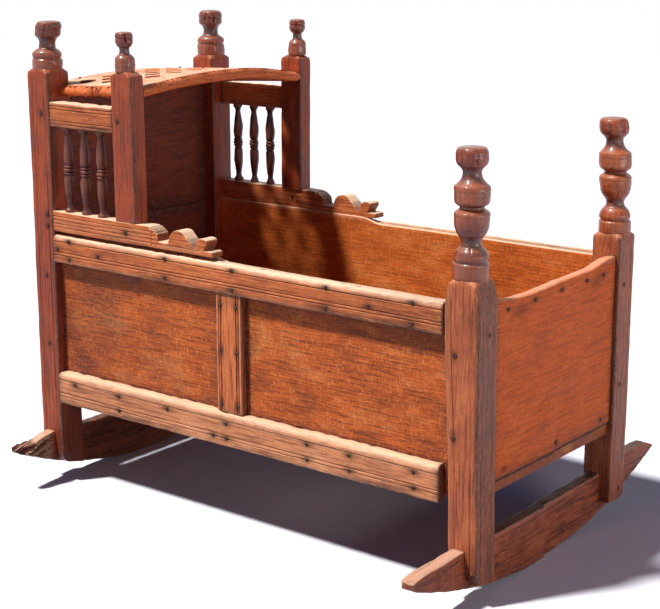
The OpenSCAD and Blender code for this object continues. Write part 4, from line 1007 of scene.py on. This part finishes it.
# half of a spindle's turning as radius, height and bulge; the ends sit in the rails
spindleShape = {
    "open": 143, "endRadius": 4.2, "endLength": 9, "steps": 32,
    "half": [(7.6, 0, 0), (7.6, 5, 0.3), (4.9, 14, -0.8), (7.9, 56, 1.2), (6.2, 63.5, 0.4),
             (7.9, 66, 0.5), (6.4, 68.4, 0.3), (8.2, 71.5, 0.7)],
    "seeds": {"near": 90, "far": 95},
}
for side in sides:
    for number in (1, 2, 3):
        node = "spindle_" + side + "_" + str(number)
        low, high = corners(node)
        centre = (low + high) / 2
        half = turnedProfile(spindleShape["half"])
        end, span = spindleShape["endRadius"], spindleShape["open"]
        reach = spindleShape["endLength"]
        profile = [(0, -reach), (end, -reach), (end, 0)] + [(p.x, p.y) for p in half]
        profile += [(p.x, span - p.y) for p in reversed(half[:-1])]
        profile += [(end, span), (end, span + reach), (0, span + reach)]
        bm = bmesh.new()
        spinProfile(bm, [(radius * mm, height * mm) for radius, height in profile],
                    Vector((centre.x, centre.y, centre.z - span * mm / 2)), spindleShape["steps"])
        bmesh.ops.remove_doubles(bm, verts=bm.verts, dist=0.02 * mm)
        wear = markLayer(bm, "wear")
        for v in bm.verts:
            radius = math.hypot(v.co.x - centre.x, v.co.y - centre.y) / mm
            v[wear] = 0.6 * smoothStep(6.5, 8.2, radius)
        handMade(bm, spindleShape["seeds"][side] + number, dent=0.35)
        finishPiece(bm, "darkSpindleOak", "turned_oak", node, sharp=45)

print("scroll rails")
# sawn end, from its tip back: mm from the tip, height, bulge
scrollStations = [(0, 3.4, 0), (6, 8.6, 2), (17, 7.6, 0.4), (17.6, 9.6, 0), (11.5, 18.7, 0),
                  (12.5, 25.5, 1), (22.5, 27.4, 0.9), (33.5, 15.5, 3.4), (38, 7.6, 0),
                  (45, 16.5, 0), (62, 31.5, -0.6), (71, 34.2, 0.9), (93, 17, 5.5), (94.5, 12.0, 0),
                  (115.5, 12.3, -1.4), (117.5, 23, 0), (139, 34, 2.8)]
# grooves by height: the lowest runs on below the scroll; notches worn into its back
scrollSizes = {"back": -frameLines["inX"], "tip": -41, "seat": 450, "height": 34, "thick": 26,
               "arris": 1.1, "grooves": (7.5, 13.6, 19.7, 25.8), "grooveEnds": (24, 120, 120, 120),
               "depth": 1.5, "half": 1.1, "sawn": 140, "notches": (121, 126, 132),
               "notchDepth": 2.2, "pegStain": 5, "seeds": {"near": 101, "far": 103}}


def scrollRail(side, sizes):
    back, tip, seat = sizes["back"], sizes["tip"], sizes["seat"]
    points = [Vector((back, seat)), Vector((tip, seat))]
    for fromTip, height, bulge in scrollStations:
        target = Vector((tip - fromTip, seat + height))
        points += arcPoints(points[-1], target, bulge, 8) if bulge else [target]
    points.append(Vector((back, seat + sizes["height"])))
    inward = 1 if side == "near" else -1
    outer = -inward * frameLines["outY"] * mm
    bm = bmesh.new()
    bm.faces.new([bm.verts.new((p.x * mm, outer, p.y * mm)) for p in points])
    thicken(bm, (0, inward * sizes["thick"] * mm, 0))
    faceEdges = [e for e in bm.edges if abs(e.verts[0].co.y - e.verts[1].co.y) < 0.01 * mm]
    roundEdges(bm, faceEdges, sizes["arris"], 3)
    for x in (*range(back + 6, tip - sizes["sawn"], 6), *range(tip - sizes["sawn"], tip, 4)):
        slicePlane(bm, axes[0], axes[0] * x * mm)
    for y in range(199, 227, 5):
        slicePlane(bm, axes[1], axes[1] * -inward * y * mm)
    for height, groove in zip(sizes["grooves"], sizes["grooveEnds"]):
        end = (tip - groove) * mm
        scratchLine(bm, 2, (seat + height) * mm, 1, outer, inward, sizes["depth"], sizes["half"],
                    lambda co: smoothStep(end, end - 8 * mm, co.x))
    markLayer(bm, "wear")
    grime = markLayer(bm, "grime")
    bm.normal_update()
    for v in bm.verts:
        fromTip = tip - v.co.x / mm
        notch = max(smoothStep(2.5, 0.5, abs(fromTip - place)) for place in sizes["notches"])
        sunk = smoothStep(sizes["height"] - 8, sizes["height"] - 14, v.co.z / mm - seat)
        # grime and painted shade in the notches; painted shade on the lower faces towards the foot
        # end by the scroll
        v[grime] = max(notch if v.normal.z > 0.4 else 0,
                       0.8 * sunk if v.normal.x > 0.5 and fromTip < 122 else 0)
        if v.normal.z > 0.3:
            v.co.z -= sizes["notchDepth"] * mm * notch
    markStains(bm, pegPoints[side], 0, sizes["pegStain"], stretch=1.6)
    handMade(bm, sizes["seeds"][side], dent=0.35)
    bmesh.ops.triangulate(bm, faces=[f for f in bm.faces if len(f.verts) > 4])
    finishPiece(bm, "rubbedRailOak", "rail_oak", "scroll_rail_" + side, sharp=40, bleach=0.95)


for side in sides:
    scrollRail(side, scrollSizes)

print("rockers")
# each horn: reach, its top's height at the post, before the tip and at the tip, its arc's radius
# and how ragged its end grain is
hornSizes = {
    "foot_rocker": {"near": {"reach": 354, "tops": (85, 84, 80), "radius": 960, "rag": 3},
                    "far": {"reach": 368, "tops": (102, 96, 86), "radius": 845, "rag": 2}},
    "head_rocker": {"near": {"reach": 309, "tops": (91, 84, 78), "radius": 700, "rag": 12},
                    "far": {"reach": 361, "tops": (102, 97, 86), "radius": 845, "rag": 5}},
}
# the box each starts from, its top between the posts, the slope before a horn's tip and the
# tip's rounding; splits push a broken horn's face in
rockerSizes = {"box": 100, "arris": 2.6, "top": 86, "slope": 26, "tip": 8, "split": 7,
               "seeds": {"foot_rocker": 111, "head_rocker": 113}}
for node, seed in rockerSizes["seeds"].items():
    low, high = corners(node)
    horns = hornSizes[node]
    low.y, high.y = -horns["near"]["reach"] * mm, horns["far"]["reach"] * mm
    low.z, high.z = 0, rockerSizes["box"] * mm
    bm = startBox(low, high)
    roundEdges(bm, sharpEdges(bm), rockerSizes["arris"], 3)
    cutInto(bm, (2.5, 6, 0))
    cutInto(bm, (0, 0, 8))
    bareAndLit = markWear(bm, low, high, 8)
    grime = markLayer(bm, "grime")
    for v in bm.verts:
        y, share = v.co.y / mm, v.co.z / (rockerSizes["box"] * mm)
        horn = horns["near" if y < 0 else "far"]
        reach, (atPost, beforeTip, atTip) = horn["reach"], horn["tops"]
        floor = max(0, arcMiddle(horn["radius"]) - math.sqrt(horn["radius"] ** 2 - y * y))
        top = alongStations([(0, rockerSizes["top"]), (frameLines["inY"], rockerSizes["top"]),
                             (frameLines["outY"], atPost),
                             (reach - rockerSizes["slope"], beforeTip), (reach, atTip)],
                            abs(y), smooth=False)
        tipCut = max(0, (abs(y) - (reach - rockerSizes["tip"])) / rockerSizes["tip"])
        middle = floor * 0.4 + top * 0.6
        squeeze = math.sqrt(max(0, 1 - min(1, tipCut) ** 2)) * 0.4 + 0.6
        bottom, top = middle - (middle - floor) * squeeze, middle + (top - middle) * squeeze
        height = bottom + share * (top - bottom)
        rag = horn["rag"] * smoothStep(232, 300, abs(y))
        lines = noise.noise(Vector((v.co.x * 260, v.co.y * 9, seed))) + 0.35 * noise.noise(
            Vector((v.co.x * 500, v.co.y * 20, seed + 4)))
        across = (v.co.x - low.x) / (high.x - low.x)
        height -= (max(0, lines) + 0.4 * across) * rag * share
        # the ragged end grain darkens in its splits, grime and painted shade; darker near the floor
        lowDown = max(0, 1 - (height - floor) / 22) * (0.7 + 0.6 * noise.noise(v.co * 30))
        v[grime] = max(min(1, max(0, lines) * 2.4) * min(1, rag / 6), 0.6 * lowDown)
        if horn["rag"] > 10:  # the broken horn is bare, grey wood, split along its grain
            splits = noise.noise(Vector((seed, v.co.y * 11, height * 0.22 - y * 0.07)))
            broken = smoothStep(228, 246, abs(y))
            v[bareAndLit] = max(v[bareAndLit], broken * smoothStep(0.12, -0.05, splits))
            v[grime] = max(v[grime], broken * smoothStep(0.02, 0.16, splits))
            if v.co.x > (low.x + high.x) / 2:
                v.co.x -= rockerSizes["split"] * mm * broken * smoothStep(-0.1, 0.3, splits)
        v.co.z = max(height, floor) * mm
    handMade(bm, seed, dent=0.6, chip=2.2)
    bm.normal_update()
    for v in bm.verts:  # bleached with a painted highlight on the horns' tops, painted shade on the top between the posts
        v.co.z = max(v.co.z, 0)
        facesUp = smoothStep(0.35, 0.8, v.normal.z)
        if abs(v.co.y) > frameLines["outY"] * mm:
            v[bareAndLit] = max(v[bareAndLit], 0.75 * facesUp)
        else:
            v[grime] = max(v[grime], facesUp)
    finishPiece(bm, "scuffedRockerOak", "rocker_oak", node, sharp=45,
                name="rocker" + node.split("_")[0].capitalize())

print("pegs and nails")
pegSizes = {"radius": 4.1, "arris": 1.0, "sides": 9, "turn": 0.7}
# rose heads: a low dome with a few hammered facets, sunk a little, each tilted its own way
nailSizes = {"radius": 3.4, "sunk": 1.2, "around": 8, "up": 5, "wide": 0.92, "flat": 0.42,
             "tilt": 0.12}


def longAxis(size):
    # the axis of the longest side, and the turn that lays Z along it
    axis = max(range(3), key=lambda i: size[i])
    return axis, (Matrix.Rotation(math.pi / 2, 4, "Y"), Matrix.Rotation(math.pi / 2, 4, "X"),
                  Matrix.Identity(4))[axis]


def pegGroup(*nodes, name=None):
    bm = bmesh.new()
    markLayer(bm, "wear")
    radius = pegSizes["radius"] * mm
    for node in nodes:
        for count, (low, high) in enumerate(islandBoxes(node)):
            axis, turn = longAxis(high - low)
            made = bmesh.ops.create_cone(bm, cap_ends=True, segments=pegSizes["sides"],
                                         radius1=radius, radius2=radius, depth=(high - low)[axis])
            caps = [e for e in {e for v in made["verts"] for e in v.link_edges}
                    if abs(e.verts[0].co.z - e.verts[1].co.z) < mm]
            rounded = roundEdges(bm, caps, pegSizes["arris"])
            verts = list({v for f in rounded["faces"] for v in f.verts} |
                         {v for v in made["verts"] if v.is_valid})
            spin = Matrix.Rotation(pegSizes["turn"] * count, 4, "Z")
            bmesh.ops.transform(bm, verts=verts,
                                matrix=Matrix.Translation((low + high) / 2) @ turn @ spin)
    finishPiece(bm, "endGrainOak", "peg_oak", *nodes, name=name)


pegGroup("post_pegs_near", "post_pegs_far", name="postPegs")
pegGroup("foot_board_pegs")
pegGroup("foot_rocker_pins", "head_rocker_pins", name="rockerPins")


def nailGroup(node, way, moved=0):
    bm = bmesh.new()
    flat = Matrix.Diagonal((1, nailSizes["wide"], nailSizes["flat"], 1))
    for count, (low, high) in enumerate(islandBoxes(node)):
        axis, turn = longAxis(high - low)
        centre = (low + high) / 2
        centre[axis] = (high if way > 0 else low)[axis] + (moved - way * nailSizes["sunk"]) * mm
        made = bmesh.ops.create_uvsphere(bm, u_segments=nailSizes["around"],
                                         v_segments=nailSizes["up"],
                                         radius=nailSizes["radius"] * mm)
        tilt = Matrix.Rotation(nailSizes["tilt"] * math.sin(count * 2.3), 4, "X")
        bmesh.ops.transform(bm, verts=made["verts"],
                            matrix=Matrix.Translation(centre) @ tilt @ turn @ flat)
    finishPiece(bm, "wroughtIron", "nail_iron", node, sharp=60)


nailGroup("side_nails_near", -1)
nailGroup("side_nails_far", 1)
nailGroup("foot_board_nails", 1, footBoard["out"])

print("frame nodes")
stayingNodes = {"floor_board_near": "plainFloorOak", "floor_board_middle": "plainFloorOak",
                "floor_board_far": "plainFloorOak", "roof_dowels": "endGrainOak",
                "floor_nails": "wroughtIron", "roof_nails": "wroughtIron"}
for node, finish in stayingNodes.items():
    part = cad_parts[node]
    part.data.materials.clear()
    part.data.materials.append(finishes[finish])
